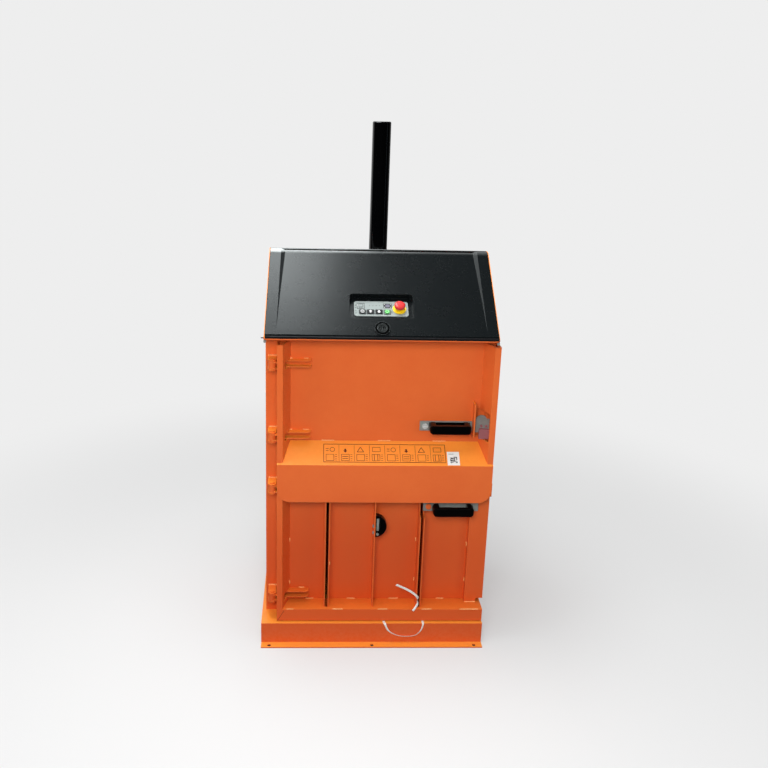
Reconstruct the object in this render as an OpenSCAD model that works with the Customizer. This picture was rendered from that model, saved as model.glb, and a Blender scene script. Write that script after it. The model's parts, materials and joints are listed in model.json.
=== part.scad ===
/* [Base frame] */
// Width of the base frame across the floor
base_w = 790; // [740:5:860]
// Depth of the base frame over both floor flanges
base_d = 690; // [670:5:760]
// Height of the base frame
base_h = 80; // [70:1:110]
// Thickness of the base sheet
base_t = 4; // [3:0.5:6]
// Width of each floor flange
flange_w = 31; // [26:1:45]
// Diameter of the anchor holes
anchor_d = 13; // [9:0.5:18]
// Distance of the outer anchor holes from the ends of a flange
anchor_end = 29; // [20:1:60]
// Distance of the anchor holes from the outer edge of a flange
anchor_edge = 12; // [9:0.5:16]

/* [Body] */
// Width of the body over its two side skins
body_w = 762; // [740:2:790]
// Distance of the door posts' front face in front of the origin
body_front = 222; // [215:1:230]
// Distance of the rear wall behind the origin
body_rear = 262; // [255:1:280]
// Height of the body's top plate above the floor
roof_z = 1100; // [1080:5:1140]
// Thickness of the outer skins
skin_t = 3; // [2:0.5:4]
// Width of each door post
post_w = 60; // [56:1:70]
// Depth of each door post
post_depth = 40; // [30:1:60]
// Thickness of the door posts
post_t = 4; // [3:0.5:5]
// Height of the stiffening channels on the rear wall
rear_rib_h = 18; // [10:1:24]

/* [Press chamber] */
// Thickness of the chamber's liner sheets
liner_t = 3; // [2:0.5:4]
// Depth of the strap duct between rear liner and rear wall
duct_d = 20; // [12:1:26]
// Height of the chamber floor's runners
runner_h = 22; // [15:1:40]
// Thickness of the chamber floor
floor_t = 8; // [5:1:12]
// Width of the chamber floor's runners
runner_w = 20; // [12:1:30]
// Distance of the inner runners from the middle
runner_in = 100; // [80:2:130]
// Distance of the outer runners' near side from the chamber's side
runner_out = 38; // [30:1:60]
// Width of the ribs in the strap duct
duct_rib_w = 30; // [20:1:40]
// Distance of the duct's inner ribs from the middle
duct_rib_in = 60; // [40:2:90]
// Distance of the duct's outer ribs' near side from the chamber's side
duct_rib_out = 48; // [40:1:70]
// Distance of each strap slot from the middle
slot_x = 165; // [150:1:180]
// Width of the strap slots
slot_w = 10; // [8:0.5:14]
// Thickness of the roof plate
roof_t = 8; // [6:1:12]
// Height of the two beams that carry the cylinder
beam_h = 60; // [50:1:70]
// Width of the two beams that carry the cylinder
beam_w = 35; // [25:1:38]
// Distance of each beam's inner face from the cylinder's axis
beam_gap = 60; // [58:1:64]

/* [Press cylinder] */
// Distance of the cylinder's axis behind the origin
cyl_y = 8; // [0:1:12]
// Outer radius of the cylinder barrel
barrel_r = 31.5; // [30:0.5:34]
// Radius of the cylinder's bore
bore_r = 26; // [22:0.5:27]
// Height of the barrel's top above the floor
mast_top = 1802; // [1780:2:1900]
// Thickness of the barrel's end cap
cap_t = 14; // [10:1:20]
// Radius of the piston rod
rod_r = 17.5; // [14:0.5:19]
// Thickness of the cylinder's foot plate
foot_t = 20; // [15:1:25]
// Running clearance of rods, pins and bolts in their bores, on the radius
run_fit = 0.05; // [0.02:0.01:0.09]

/* [Press plate] */
// Gap between the raised press plate and the roof plate
platen_drop = 14; // [10:1:30]
// Height of the press plate with its boss
platen_h = 86; // [80:1:100]
// Gap between the press plate and each side liner
platen_gap = 10; // [6:1:14]
// Thickness of the press plate's top sheet
platen_t = 12; // [8:1:16]
// Depth of the pressing beams under the top sheet
press_beam_h = 40; // [30:1:44]

/* [Top casing] */
// Height of the rim under the hood
rim_h = 12; // [10:1:16]
// Distance the rim stands out over each side skin
rim_over = 3; // [2:0.5:8]
// Distance of the rim's nose in front of the origin
rim_front = 329; // [320:1:336]
// Radius of the rim's corners inside its round edge
rim_corner = 9; // [9:1:16]
// Thickness of the casing sheets
case_t = 3; // [2:0.5:4]
// Thickness of the gable sheets
gable_t = 2; // [1.5:0.5:4]
// Distance of each gable's foot inside the rim's edge
gable_inset = 2; // [0:0.5:4]
// Sideways lean of each gable from the rim to the crest
gable_lean_in = 8; // [4:0.5:14]
// Width of the rim's inner ledge inside each side skin
rim_ledge = 8; // [6:1:14]
// Height of the crest above the floor
crest_z = 1378; // [1370:1:1390]
// Distance of the crest in front of the origin
crest_y = 61.4; // [55:0.2:68]
// Radius of the hood's rounded crest
crest_r = 30; // [28:1:33]
// Height of the rear edge of the top cap
cap_rear_z = 1340; // [1325:1:1345]
// Distance of the rear edge of the top cap behind the origin
cap_rear_y = 75; // [70:1:85]
// Height of the rear upper wall's edge
rear_edge_z = 1215; // [1200:1:1230]
// Opening angle of the rear lid, in degrees
lid_open = 75; // [30:1:90]

/* [Hood] */
// Thickness of the moulded hood
hood_t = 4; // [3:0.5:5]
// Gap between the hood and each gable
hood_gap = 1; // [0.5:0.5:3]
// Width of the raised border on each side of the hood
border_w = 36; // [30:1:44]
// Depth of the centre panel below the borders at the crest
panel_sink = 5; // [2:0.5:8]
// Slope of the borders' inner flanks, in degrees
flank_tilt = 20; // [12:1:40]
// Length of the slope that the hood's upright front lip takes up
lip_run = 12; // [6:1:20]
// Depth of the hood's side skirts
skirt_d = 36; // [30:1:40]
// Width of the control pocket
pocket_w = 210; // [200:1:230]
// Height of the control pocket along the slope
pocket_h = 97; // [92:1:104]
// Distance of the pocket's lower edge from the hood's lower edge
pocket_y = 78; // [74:1:90]
// Tilt of the control panel against the hood, in degrees
panel_tilt = 10.5; // [8:0.5:14]
// Radius of the hood's lock knob
knob_r = 16; // [14:0.5:17]
// Radius of the knob's key plug
key_plug_r = 7.5; // [5:0.5:9]
// Width of the control panel
panel_w = 178; // [170:1:190]
// Height of the control panel
panel_h = 66; // [64:1:72]

/* [Hydraulic unit] */
// Distance of the oil tank's middle from the middle of the machine
tank_x = 235; // [225:1:240]
// Distance of the oil tank in front of the origin
tank_front = 158; // [150:1:160]
// Width of the oil tank
tank_w = 210; // [170:5:215]
// Depth of the oil tank
tank_d = 110; // [90:2:114]
// Height of the oil tank
tank_h = 92; // [70:1:100]
// Height of the oil tank's lid
lid_h = 6; // [4:1:10]
// Radius of the oil filler neck
filler_r = 16; // [12:1:20]
// Distance of the filler neck from the tank's middle
filler_x = 65; // [40:1:75]
// Distance of the motor's axis in front of the origin
motor_front = 160; // [156:1:160]
// Height of the motor's axis above the roof plate
motor_h = 72; // [68:1:80]
// Radius of the motor
motor_r = 50; // [42:1:50]
// Length of the finned motor housing
motor_len = 140; // [120:2:150]
// Length of the fan cover
fan_len = 34; // [24:1:40]
// Thickness of the motor's flange
flange_t = 16; // [10:1:20]
// Radius of the pump
pump_r = 30; // [22:1:40]
// Length of the pump
pump_len = 72; // [60:1:74]
// Width of the valve block in depth
valve_d = 60; // [50:1:64]
// Height of the valve block
valve_h = 60; // [56:1:70]
// Radius of the valve coils
coil_r = 14; // [10:1:18]
// Height of the valve coils
coil_h = 44; // [30:1:50]
// Radius of the hydraulic hose
hose_r = 7; // [5:0.5:9]
// Width of the electrical box
ebox_w = 180; // [150:5:190]
// Depth of the electrical box
ebox_d = 156; // [140:2:170]
// Height of the electrical box
ebox_h = 96; // [80:1:100]
// Distance of the electrical box from the middle
ebox_x = 250; // [240:1:256]
// Radius of the cable glands
gland_r = 9; // [6:0.5:11]

/* [Doors] */
// Distance of the doors' left edge from the middle
door_left = 340; // [338:1:341]
// Distance of the doors' right edge from the middle
door_right = 394; // [392:1:400]
// Thickness of the door sheets
door_t = 4; // [3:0.5:5]
// Gap between the door sheets and the door posts
door_gap = 4; // [3:0.5:6]
// Depth of the doors' folded edges in front of the sheet
stile_d = 72; // [66:1:74]
// Width of the front face of a folded edge
lip_w = 19; // [16:1:26]
// Sideways run of a folded edge's inner web
web_run = 24; // [16:1:30]
// Gap between the lower door and the base frame
sill_gap = 4; // [3:0.5:8]
// Height of the lower door's bottom rail
sill_h = 46; // [40:1:56]
// Height of the shelf's fold above the floor
fold_z = 686; // [670:1:700]
// Rise of the shelf from its fold to the door sheet
shelf_rise = 59; // [50:1:66]
// Height of the apron below the shelf's fold
apron_h = 137; // [120:1:145]
// Corner radius of the apron
apron_r = 45; // [20:1:60]
// Depth of the ribs on the lower door
rib_d = 56; // [40:1:60]
// Width of the lower door's channel on the latch side
edge_w = 66; // [56:1:72]
// Depth of the lower door's channel on the latch side
edge_d = 23; // [18:1:26]

/* [Hinges] */
// Distance of the hinge axis from the middle
hinge_x = 357.5; // [357:0.1:359]
// Distance of the hinge axis in front of the origin
hinge_y = 268; // [268:0.5:270]
// Radius of the hinge pins
pin_r = 6; // [5:0.5:7]
// Radius of the hinge eyes
eye_r = 13; // [12:0.5:14]
// Height of the hinge eyes
eye_h = 24; // [22:1:30]
// Distance of the hinge arms' ends from the middle
arm_end = 228; // [200:1:260]
// Depth of the hinge arms in front of the door sheet
arm_d = 27; // [20:1:36]
// Heights of the upper door's hinges
upper_hinge_z = [772, 1026];
// Heights of the lower door's hinges
lower_hinge_z = [162, 583];

/* [Latches] */
// Height of the latch bars
bar_h = 34; // [28:1:36]
// Thickness of the latch bars
bar_t = 6; // [4:0.5:8]
// Height of the upper latch bar above the floor
upper_bar_z = 806; // [800:1:812]
// Height of the lower latch bar above the floor
lower_bar_z = 516; // [510:1:520]
// Distance of the upper latch pivot from the middle
upper_pivot_x = 163; // [155:1:170]
// Distance of the lower latch pivot from the middle
lower_pivot_x = 186; // [182:1:190]
// Length of the upper latch bar from its pivot to its free end
upper_bar_len = 168; // [160:1:168]
// Length of the lower latch bar from its pivot to its free end
lower_bar_len = 175; // [165:1:178]
// Length of the latch bars beyond their pivots
bar_tail = 18; // [12:1:20]
// Length of the grips
grip_len = 143; // [130:1:146]
// Height of the grips
grip_h = 30; // [24:1:32]
// Lift of the latch bars, in degrees
latch_lift = 22; // [10:1:22]

/* [Straps] */
// Width of the bale strap
strap_w = 8.6; // [6:0.2:9]
// Thickness of the bale strap
strap_t = 1.6; // [1:0.1:2]

/* [Hidden] */
eps = 0.01;
half_base = base_w/2;
half_deck = base_d/2 - flange_w;
half_body = body_w/2;
half_skin = half_body - skin_t;
half_chamber = half_body - post_w - liner_t;
liner_rear = body_rear - skin_t - duct_d;
deck_z = base_h - base_t;
floor_z = base_h + runner_h;
post_y = -body_front;
roof_top = roof_z + roof_t;
rim_z = roof_z + 24;
rim_w = body_w + 2*rim_over;
gable_w_low = rim_w - 2*gable_inset;
gable_w_top = gable_w_low - 2*gable_lean_in;
ledge_half = half_skin - rim_ledge;
rim_top = rim_z + rim_h;
rim_y = -rim_front;
crest_cy = -crest_y;
crest_cz = crest_z - crest_r;
run_y = crest_cy - rim_y;
run_z = crest_cz - rim_top;
run_len = sqrt(run_y*run_y + run_z*run_z);
slope = atan2(run_z, run_y) + asin(crest_r/run_len);
slope_len = sqrt(run_len*run_len - crest_r*crest_r);
gable_lean = atan2((gable_w_low - gable_w_top)/2, crest_z - rim_top);
hood_low = gable_w_low/2 - gable_t - hood_gap;
hood_top = gable_w_top/2 - gable_t - hood_gap;
slant = (hood_low - hood_top)/slope_len;
pin_half = gable_w_low/2 - (crest_cz - rim_top)*tan(gable_lean) - 0.5;
cap_front_y = crest_cy + sqrt(pow(crest_r + 2, 2) - pow(crest_r - case_t, 2));
cap_half = gable_w_top/2 - gable_t - 0.5;
lid_slope = atan2(cap_rear_z - rear_edge_z, body_rear - cap_rear_y);
lid_len = (body_rear - cap_rear_y)/cos(lid_slope);
lid_y = cap_rear_y + 8;
lid_z = cap_rear_z - 5;
knuckle_len = 48;
knuckle_r = 6;
rod_pin_r = 3;
sheet_y = post_y - door_gap;
plate_y = sheet_y - door_t;
lip_y = plate_y - stile_d;
apron_y = lip_y - 6;
shelf_z = fold_z + shelf_rise;
shelf_slope = shelf_rise/(plate_y - apron_y);
door_top = roof_z + 4;
lower_top = shelf_z - 11;
sill_z = base_h + sill_gap;
sill_top = sill_z + sill_h;
foot_top = roof_top + foot_t;
barrel_top = mast_top - cap_t;
platen_top = roof_z - platen_drop;
platen_z = platen_top - platen_h;
platen_half = half_chamber - platen_gap;
platen_rear = liner_rear - platen_gap;
piston_h = 40;
piston_top = barrel_top - 8;
lug_t = 6;
lug_gap = 0.5;
arm_t = 3.5;
upper_bar_y = plate_y - 6;
lower_bar_y = plate_y - 30;
grip_stand = 44;
estop_x = 60;
estop_p = 31;
lock_u = 37;
beam_wall = 5;
cap_edge = 3;
hood_pin_r = 5;
hood_pin_len = 11;
hood_ear_t = 5;
port_z = 60;
port_len = 14;
tank_y = -tank_front;
motor_y = -motor_front;
pump_x = 58;
valve_x = -14;
valve_face = -118;
nipple_len = 12;
hose_z = 44;
ebox_lid = 18;
ebox_rim = 4;
gland_step = 40;
crest_wrap = 25;
reel_y = 175;
reel_z = 1185;
reel_r = 60;
reel_w = 40;
reel_axle_r = 8;
reel_arm_out = 60;
reel_arm_in = 50;
reel_arm_t = 6;
reel_arm_half = 25;
reel_arm_head = 20;
keeper_x = [334, 382];
keeper_z = [766, 868];
keeper_low = [540, 604];
edge_t = 3;
edge_over = 8;
edge_head = 34;
key_travel = 1.2;

orange = "#d8622c";
black = "#16191a";
steel = "#9aa09c";
grey = "#b9bcb8";

module box(x0, x1, y0, y1, z0, z1) {
    translate([x0, y0, z0]) cube([x1 - x0, y1 - y0, z1 - z0]);
}
module along_x(x0, x1) {
    translate([x0, 0, 0]) rotate([90, 0, 90]) linear_extrude(x1 - x0) children();
}
module along_y(y0, y1) {
    translate([0, y1, 0]) rotate([90, 0, 0]) linear_extrude(y1 - y0) children();
}
module rounded_rect(w, h, r) {
    square([w - 2*r, h], center = true);
    square([w, h - 2*r], center = true);
    for (x = [-1, 1], y = [-1, 1]) translate([x*(w/2 - r), y*(h/2 - r)]) circle(r = r, $fn = 48);
}
module both_sides() {
    children();
    mirror([1, 0, 0]) children();
}
module hex_head(r, h) {
    cylinder(r = r, h = h, $fn = 6);
}

// Base frame: a folded deck, open below, with a floor flange at the front and at the back
module base_frame() color(orange) {
    difference() {
        union() {
            box(-half_base, half_base, -half_deck, half_deck, 0, base_h);
            box(-half_base, half_base, -base_d/2, base_d/2, 0, base_t);
        }
        box(-half_base + base_t, half_base - base_t, -half_deck + base_t, half_deck - base_t, -1, deck_z);
        for (x = [-1, 0, 1], s = [-1, 1])
            translate([x*(half_base - anchor_end), s*(base_d/2 - anchor_edge), -1])
                cylinder(d = anchor_d, h = base_t + 2, $fn = 48);
    }
}

// Outer skins of the press body
module side_skin() {
    box(-half_body, -half_skin, post_y, body_rear, base_h, rim_z);
}
module left_side_wall() color(orange) side_skin();
module right_side_wall() color(orange) mirror([1, 0, 0]) side_skin();
module rear_wall() color(orange) {
    box(-half_skin, half_skin, body_rear - skin_t, body_rear, base_h, rim_z);
    for (x = [-230, 0, 230]) translate([x, body_rear, base_h]) linear_extrude(rim_z - base_h)
        difference() {
            translate([-30, 0]) square([60, rear_rib_h]);
            translate([-27, -1]) square([54, rear_rib_h - 2]);
        }
}
module door_posts() color(orange) both_sides() {
    translate([-half_skin, post_y, base_h]) linear_extrude(roof_z - base_h) difference() {
        square([post_w - skin_t, post_depth]);
        translate([post_t, post_t]) square([post_w - skin_t - 2*post_t, post_depth]);
    }
}

// Liners of the press chamber, held off the skins by folded shelves
module chamber_side_liners() color(orange) both_sides() {
    x_out = -half_chamber - liner_t;
    box(x_out, -half_chamber, post_y + post_t, liner_rear, base_h, roof_z);
    for (z = [350, 650, 950]) box(-half_skin, x_out, post_y + post_depth, liner_rear, z, z + liner_t);
}
module chamber_rear_liner() color(orange) {
    difference() {
        box(-half_chamber - liner_t, half_chamber + liner_t, liner_rear, liner_rear + liner_t,
            base_h, roof_z);
        both_sides() box(slot_x - slot_w/2, slot_x + slot_w/2, liner_rear - 1, liner_rear + liner_t + 1,
            floor_z + floor_t, platen_z);
    }
    both_sides() for (x = [duct_rib_in, half_chamber - duct_rib_out])
        box(x, x + duct_rib_w, liner_rear + liner_t, body_rear - skin_t, base_h, roof_z);
}
module chamber_floor() color(orange) difference() {
    union() {
        box(-half_chamber, half_chamber, post_y, liner_rear, floor_z, floor_z + floor_t);
        both_sides() for (x = [runner_in, half_chamber - runner_out])
            box(x, x + runner_w, post_y, liner_rear, base_h, floor_z);
    }
    both_sides() box(slot_x - slot_w/2, slot_x + slot_w/2, post_y - 1, liner_rear - 40, floor_z - 1,
        floor_z + floor_t + 1);
}

// Roof plate with a turned-up front edge and the two beams that carry the cylinder
module roof_plate() color(orange) difference() {
    union() {
        box(-half_skin, half_skin, post_y, body_rear - skin_t, roof_z, roof_top);
        box(-half_skin, half_skin, post_y, post_y + post_t, roof_top, rim_z);
        for (y = [cyl_y - beam_gap - beam_w, cyl_y + beam_gap]) difference() {
            box(-ledge_half, ledge_half, y, y + beam_w, roof_top, roof_top + beam_h);
            box(-half_skin, half_skin, y + beam_wall, y + beam_w - beam_wall, roof_top + beam_wall,
                roof_top + beam_h - beam_wall);
        }
    }
    translate([0, cyl_y, roof_z - 1]) cylinder(r = rod_r + 4, h = roof_t + 2, $fn = 64);
}

// Outline of a gable, from the side
module gable_outline() {
    toe = [rim_y + 8*cos(slope), rim_top];
    up = [rim_y + slope_len*cos(slope), rim_top + slope_len*sin(slope)];
    polygon([toe, up, [crest_cy, crest_cz], [crest_cy, crest_z], [cap_front_y, crest_z],
        [cap_rear_y, cap_rear_z], [body_rear, rear_edge_z], [body_rear, rim_top]]);
    translate([crest_cy, crest_cz]) circle(r = crest_r, $fn = 96);
}
module rim_bar(back) {
    edge = rim_h/2;
    corner = rim_corner + edge;
    box(-rim_w/2 + edge, rim_w/2 - edge, rim_y + corner, back, rim_z, rim_top);
    box(-rim_w/2 + corner, rim_w/2 - corner, rim_y + edge, rim_y + corner + 1, rim_z, rim_top);
    translate([0, rim_y + edge, rim_z + edge]) rotate([0, 90, 0])
        cylinder(r = edge, h = rim_w - 2*corner, center = true, $fn = 48);
    both_sides() {
        translate([rim_w/2 - edge, rim_y + corner, rim_z + edge]) rotate([-90, 0, 0])
            cylinder(r = edge, h = back - rim_y - corner, $fn = 48);
        translate([rim_w/2 - corner, rim_y + corner, rim_z + edge]) {
            rotate_extrude($fn = 48) translate([rim_corner, 0]) circle(r = edge, $fn = 48);
            cylinder(r = rim_corner, h = rim_h, center = true, $fn = 48);
        }
    }
}
module top_casing() color(orange) {
    rim_back = body_rear + case_t;
    difference() {
        rim_bar(rim_back);
        box(-ledge_half, ledge_half, post_y + rim_ledge, body_rear - 14, rim_z - 1, rim_top + 1);
        box(-rim_w/2 + 12, rim_w/2 - 12, rim_y + 12, post_y - 8, rim_z - 1, rim_top - case_t);
    }
    both_sides() translate([-gable_w_low/2, 0, rim_top]) rotate([0, gable_lean, 0])
        translate([0, 0, -rim_top]) along_x(0, gable_t) gable_outline();
    both_sides() translate([-pin_half, crest_cy, crest_cz]) rotate([0, 90, 0])
        cylinder(r = hood_pin_r, h = hood_pin_len, $fn = 64);
    low = gable_w_low/2 - gable_t;
    top = low - (rear_edge_z - rim_top)*tan(gable_lean);
    along_y(body_rear - case_t, body_rear)
        polygon([[-low, rim_top], [low, rim_top], [top, rear_edge_z - 6], [-top, rear_edge_z - 6]]);
}

// Black cap between crest and rear lid, with the hole for the cylinder
module top_cap() color(black) {
    cap_fall = (crest_z - cap_rear_z)/(cap_rear_y - cap_front_y);
    difference() {
        along_x(-cap_half, cap_half) polygon([[cap_front_y, crest_z], [cap_rear_y, cap_rear_z],
            [cap_rear_y, cap_rear_z - 26], [cap_rear_y - case_t, cap_rear_z - 26],
            [cap_rear_y - case_t, cap_rear_z - case_t], [cap_front_y, crest_z - case_t]]);
        translate([0, cyl_y, cap_rear_z - 40]) cylinder(r = barrel_r + 0.5, h = 90, $fn = 96);
    }
    collar_z = crest_z - (cyl_y - cap_front_y)*cap_fall;
    translate([0, cyl_y, collar_z - 14]) difference() {
        cylinder(r = barrel_r + 6, h = 12, $fn = 96);
        translate([0, 0, -1]) cylinder(r = barrel_r + 0.5, h = 16, $fn = 96);
    }
    for (x = [-300:100:300]) difference() {
        union() {
            box(x - knuckle_len/2, x + knuckle_len/2, cap_rear_y - eps, lid_y, lid_z - 4, lid_z + 4);
            knuckle(x, knuckle_r);
        }
        knuckle(x, rod_pin_r + run_fit);
    }
}
module knuckle(x, r) {
    translate([x - knuckle_len/2 - (r < knuckle_r ? 1 : 0), lid_y, lid_z]) rotate([0, 90, 0])
        cylinder(r = r, h = knuckle_len + (r < knuckle_r ? 2 : 0), $fn = 48);
}

// Rear lid over the strap reels, hinged along the top cap's rear edge
module rear_lid() color(orange) {
    near = 18;
    far = lid_len + 8;
    half_near = cap_half - 1;
    fall = tan(lid_slope);
    seam_z = cap_rear_z + 2 - (lid_y - cap_rear_y)*fall;
    translate([-325, lid_y, lid_z]) rotate([0, 90, 0]) cylinder(r = rod_pin_r, h = 650, $fn = 48);
    for (x = [-250:100:250]) {
        knuckle(x, knuckle_r);
        along_x(x - knuckle_len/2, x + knuckle_len/2)
            polygon([[lid_y + 2, lid_z - 5], [lid_y + 12, lid_z - 10],
            [lid_y + 12, seam_z - 12*fall - 1.5], [lid_y + 2, lid_z + 3]]);
    }
    translate([0, cap_rear_y, cap_rear_z + 2]) rotate([-lid_slope, 0, 0]) difference() {
        translate([0, 0, -case_t]) linear_extrude(case_t)
            polygon([[-half_near, near], [half_near, near], [half_near + 3, far], [-half_near - 3, far]]);
        for (x = [-250:50:250]) translate([x, 75, 0]) linear_extrude(20, center = true)
            rounded_rect(8, 60, 3.9);
    }
}

// Press cylinder: foot plate, hollow barrel and end cap
module cylinder_foot() color(black) difference() {
    union() {
        translate([0, cyl_y, roof_top]) linear_extrude(foot_t) rounded_rect(116, 116, 14);
        both_sides() for (s = [-1, 1]) translate([44, cyl_y + s*44, foot_top]) hex_head(9, 8);
    }
    translate([0, cyl_y, roof_top - 1]) cylinder(r = rod_r + run_fit, h = foot_t + 2, $fn = 96);
}
module cylinder_barrel() color(black) translate([0, cyl_y, foot_top]) {
    difference() {
        union() {
            cylinder(r = barrel_r, h = barrel_top - foot_top, $fn = 96);
            translate([0, 0, port_z]) rotate([90, 0, 0]) cylinder(r = 11, h = barrel_r + port_len, $fn = 48);
        }
        translate([0, 0, -1]) cylinder(r = bore_r, h = barrel_top - foot_top + 2, $fn = 96);
        translate([0, 0, port_z]) rotate([90, 0, 0]) cylinder(r = 5, h = barrel_r + 20, $fn = 48);
    }
    translate([0, 0, barrel_top - foot_top]) rotate_extrude($fn = 96)
        polygon([[0, 0], [barrel_r, 0], [barrel_r, cap_t - cap_edge], [barrel_r - cap_edge, cap_t],
            [0, cap_t]]);
}
module piston_rod() color(steel) translate([0, cyl_y, 0]) {
    translate([0, 0, platen_top]) cylinder(r = rod_r, h = piston_top - piston_h - platen_top, $fn = 96);
    translate([0, 0, piston_top - piston_h]) difference() {
        cylinder(r = bore_r - run_fit, h = piston_h, $fn = 96);
        for (z = [8, 26]) translate([0, 0, z]) difference() {
            cylinder(r = bore_r + 1, h = 5, $fn = 96);
            translate([0, 0, -1]) cylinder(r = bore_r - 2, h = 7, $fn = 96);
        }
    }
}

// Press plate: top sheet, three pressing beams with strap grooves between, ribs and boss
module press_plate() color(orange) {
    plate_z = platen_z + press_beam_h;
    front = -platen_rear + 2*cyl_y;
    groove = slot_w/2 + 2;
    box(-platen_half, platen_half, front, platen_rear, plate_z, plate_z + platen_t);
    press_beam(-slot_x + groove, slot_x - groove, front, platen_rear, plate_z);
    both_sides() press_beam(slot_x + groove, platen_half, front, platen_rear, plate_z);
    translate([0, cyl_y, plate_z]) cylinder(r = 42, h = platen_top - plate_z, $fn = 96);
    rib_top = platen_top - plate_z - platen_t - 4;
    for (y = [-45, 37]) translate([0, cyl_y + y, plate_z + platen_t]) rotate([90, 0, 0])
        translate([0, 0, -8]) linear_extrude(8)
            polygon([[-platen_half + 20, 0], [platen_half - 20, 0], [60, rib_top], [-60, rib_top]]);
    both_sides() box(100, 108, front + 20, platen_rear - 20, plate_z + platen_t, plate_z + platen_t + 16);
}

module press_beam(x0, x1, front, rear, top) difference() {
    box(x0, x1, front, rear, platen_z, top);
    box(x0 + beam_wall, x1 - beam_wall, front - 1, rear + 1, platen_z + beam_wall, top - beam_wall);
}

// Hydraulic unit and electrical box in the top casing
module oil_tank() color(grey) {
    translate([tank_x, tank_y, roof_top]) linear_extrude(tank_h) rounded_rect(tank_w, tank_d, 12);
    translate([tank_x, tank_y, roof_top + tank_h]) linear_extrude(lid_h)
        rounded_rect(tank_w + 12, tank_d + 12, 14);
    translate([tank_x + filler_x, tank_y, roof_top + tank_h + lid_h]) {
        cylinder(r = filler_r, h = 12, $fn = 48);
        translate([0, 0, 12]) cylinder(r = filler_r + 4, h = 9, $fn = 12);
    }
}
module pump_motor() color("#3c4347") translate([0, motor_y, roof_top + motor_h]) {
    flange = pump_x + pump_len;
    body = flange + flange_t;
    rotate([0, -90, 0]) {
        translate([0, 0, body]) difference() {
            cylinder(r = motor_r, h = motor_len, $fn = 72);
            for (a = [0:15:345]) rotate([0, 0, a]) translate([motor_r - 3, -1.5, 12])
                cube([6, 3, motor_len - 24]);
        }
        translate([0, 0, body + motor_len]) cylinder(r = motor_r + 2, h = fan_len, $fn = 72);
        translate([0, 0, flange]) cylinder(r = motor_r + 8, h = flange_t, $fn = 72);
        translate([0, 0, pump_x]) cylinder(r = pump_r, h = pump_len, $fn = 72);
    }
    for (x = [-body - 104, -body - 34]) box(x, x + 26, -motor_r + 8, motor_r - 8, -motor_h, -motor_r + 12);
    box(-body - 104, -body - 34, -motor_r + 18, motor_r - 18, motor_r - 4, motor_r + 16);
}
module valve_block() color(grey) {
    back = valve_face - nipple_len;
    box(valve_x - 44, valve_x + 44, back - valve_d, back, roof_top, roof_top + valve_h);
    for (x = [valve_x - 22, valve_x + 20]) translate([x, back - valve_d/2, roof_top + valve_h])
        cylinder(r = coil_r, h = coil_h, $fn = 48);
    translate([valve_x, back, roof_top + hose_z]) rotate([-90, 0, 0])
        cylinder(r = hose_r + 2, h = nipple_len, $fn = 48);
}
module hydraulic_hose() color(black) {
    z0 = roof_top + hose_z;
    z1 = foot_top + port_z;
    y1 = cyl_y - barrel_r - port_len;
    path = [[valve_x, valve_face, z0], [valve_x, valve_face + 8, z0], [valve_x + 1, valve_face + 16, z0 + 7],
        [valve_x + 3, y1 - 58, z0 + 20], [valve_x + 5, y1 - 48, z0 + 31], [valve_x + 9, y1 - 34, z1],
        [-2, y1 - 20, z1], [0, y1 - 10, z1], [0, y1, z1]];
    sweep(path, hose_r, hose_r, [for (p = path) [1, 0, 0]], 12);
}
module electrical_box() color(grey) {
    z0 = roof_top + beam_h;
    front = cyl_y - ebox_d/2;
    translate([-ebox_x, cyl_y, z0]) linear_extrude(ebox_h) square([ebox_w, ebox_d], center = true);
    translate([-ebox_x, cyl_y, z0 + ebox_h]) linear_extrude(ebox_lid)
        square([ebox_w + 2*ebox_rim, ebox_d + 2*ebox_rim], center = true);
    for (x = [-1.5:1:1.5]) translate([x*gland_step - ebox_x, front, z0 + 26]) rotate([90, 0, 0])
        cylinder(r = gland_r, h = 12, $fn = 48);
}

// Strap reels on a fixed axle behind the chamber
module reel_bracket() color(steel) {
    translate([-slot_x - reel_arm_out, reel_y, reel_z]) rotate([0, 90, 0])
        cylinder(r = reel_axle_r, h = 2*slot_x + 2*reel_arm_out, $fn = 64);
    for (x = [-slot_x - reel_arm_out, -slot_x + reel_arm_in, slot_x - reel_arm_out, slot_x + reel_arm_in])
        difference() {
            box(x, x + reel_arm_t, reel_y - reel_arm_half, reel_y + reel_arm_half, roof_top,
                reel_z + reel_arm_head);
            translate([x - 1, reel_y, reel_z]) rotate([0, 90, 0])
                cylinder(r = reel_axle_r, h = reel_arm_t + 2, $fn = 64);
        }
}
module reel(x) translate([x - reel_w/2, reel_y, reel_z]) rotate([0, 90, 0]) difference() {
    union() {
        cylinder(r = reel_r, h = 3, $fn = 96);
        translate([0, 0, 3]) cylinder(r = reel_r - 8, h = reel_w - 6, $fn = 96);
        translate([0, 0, reel_w - 3]) cylinder(r = reel_r, h = 3, $fn = 96);
    }
    translate([0, 0, -1]) cylinder(r = reel_axle_r + run_fit, h = reel_w + 2, $fn = 64);
    for (a = [0:60:300]) rotate([0, 0, a]) translate([24, 0, -1]) cylinder(r = 6, h = reel_w + 2, $fn = 48);
}
module left_reel() color("#e9e6dc") reel(-slot_x);
module right_reel() color("#e9e6dc") reel(slot_x);

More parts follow.
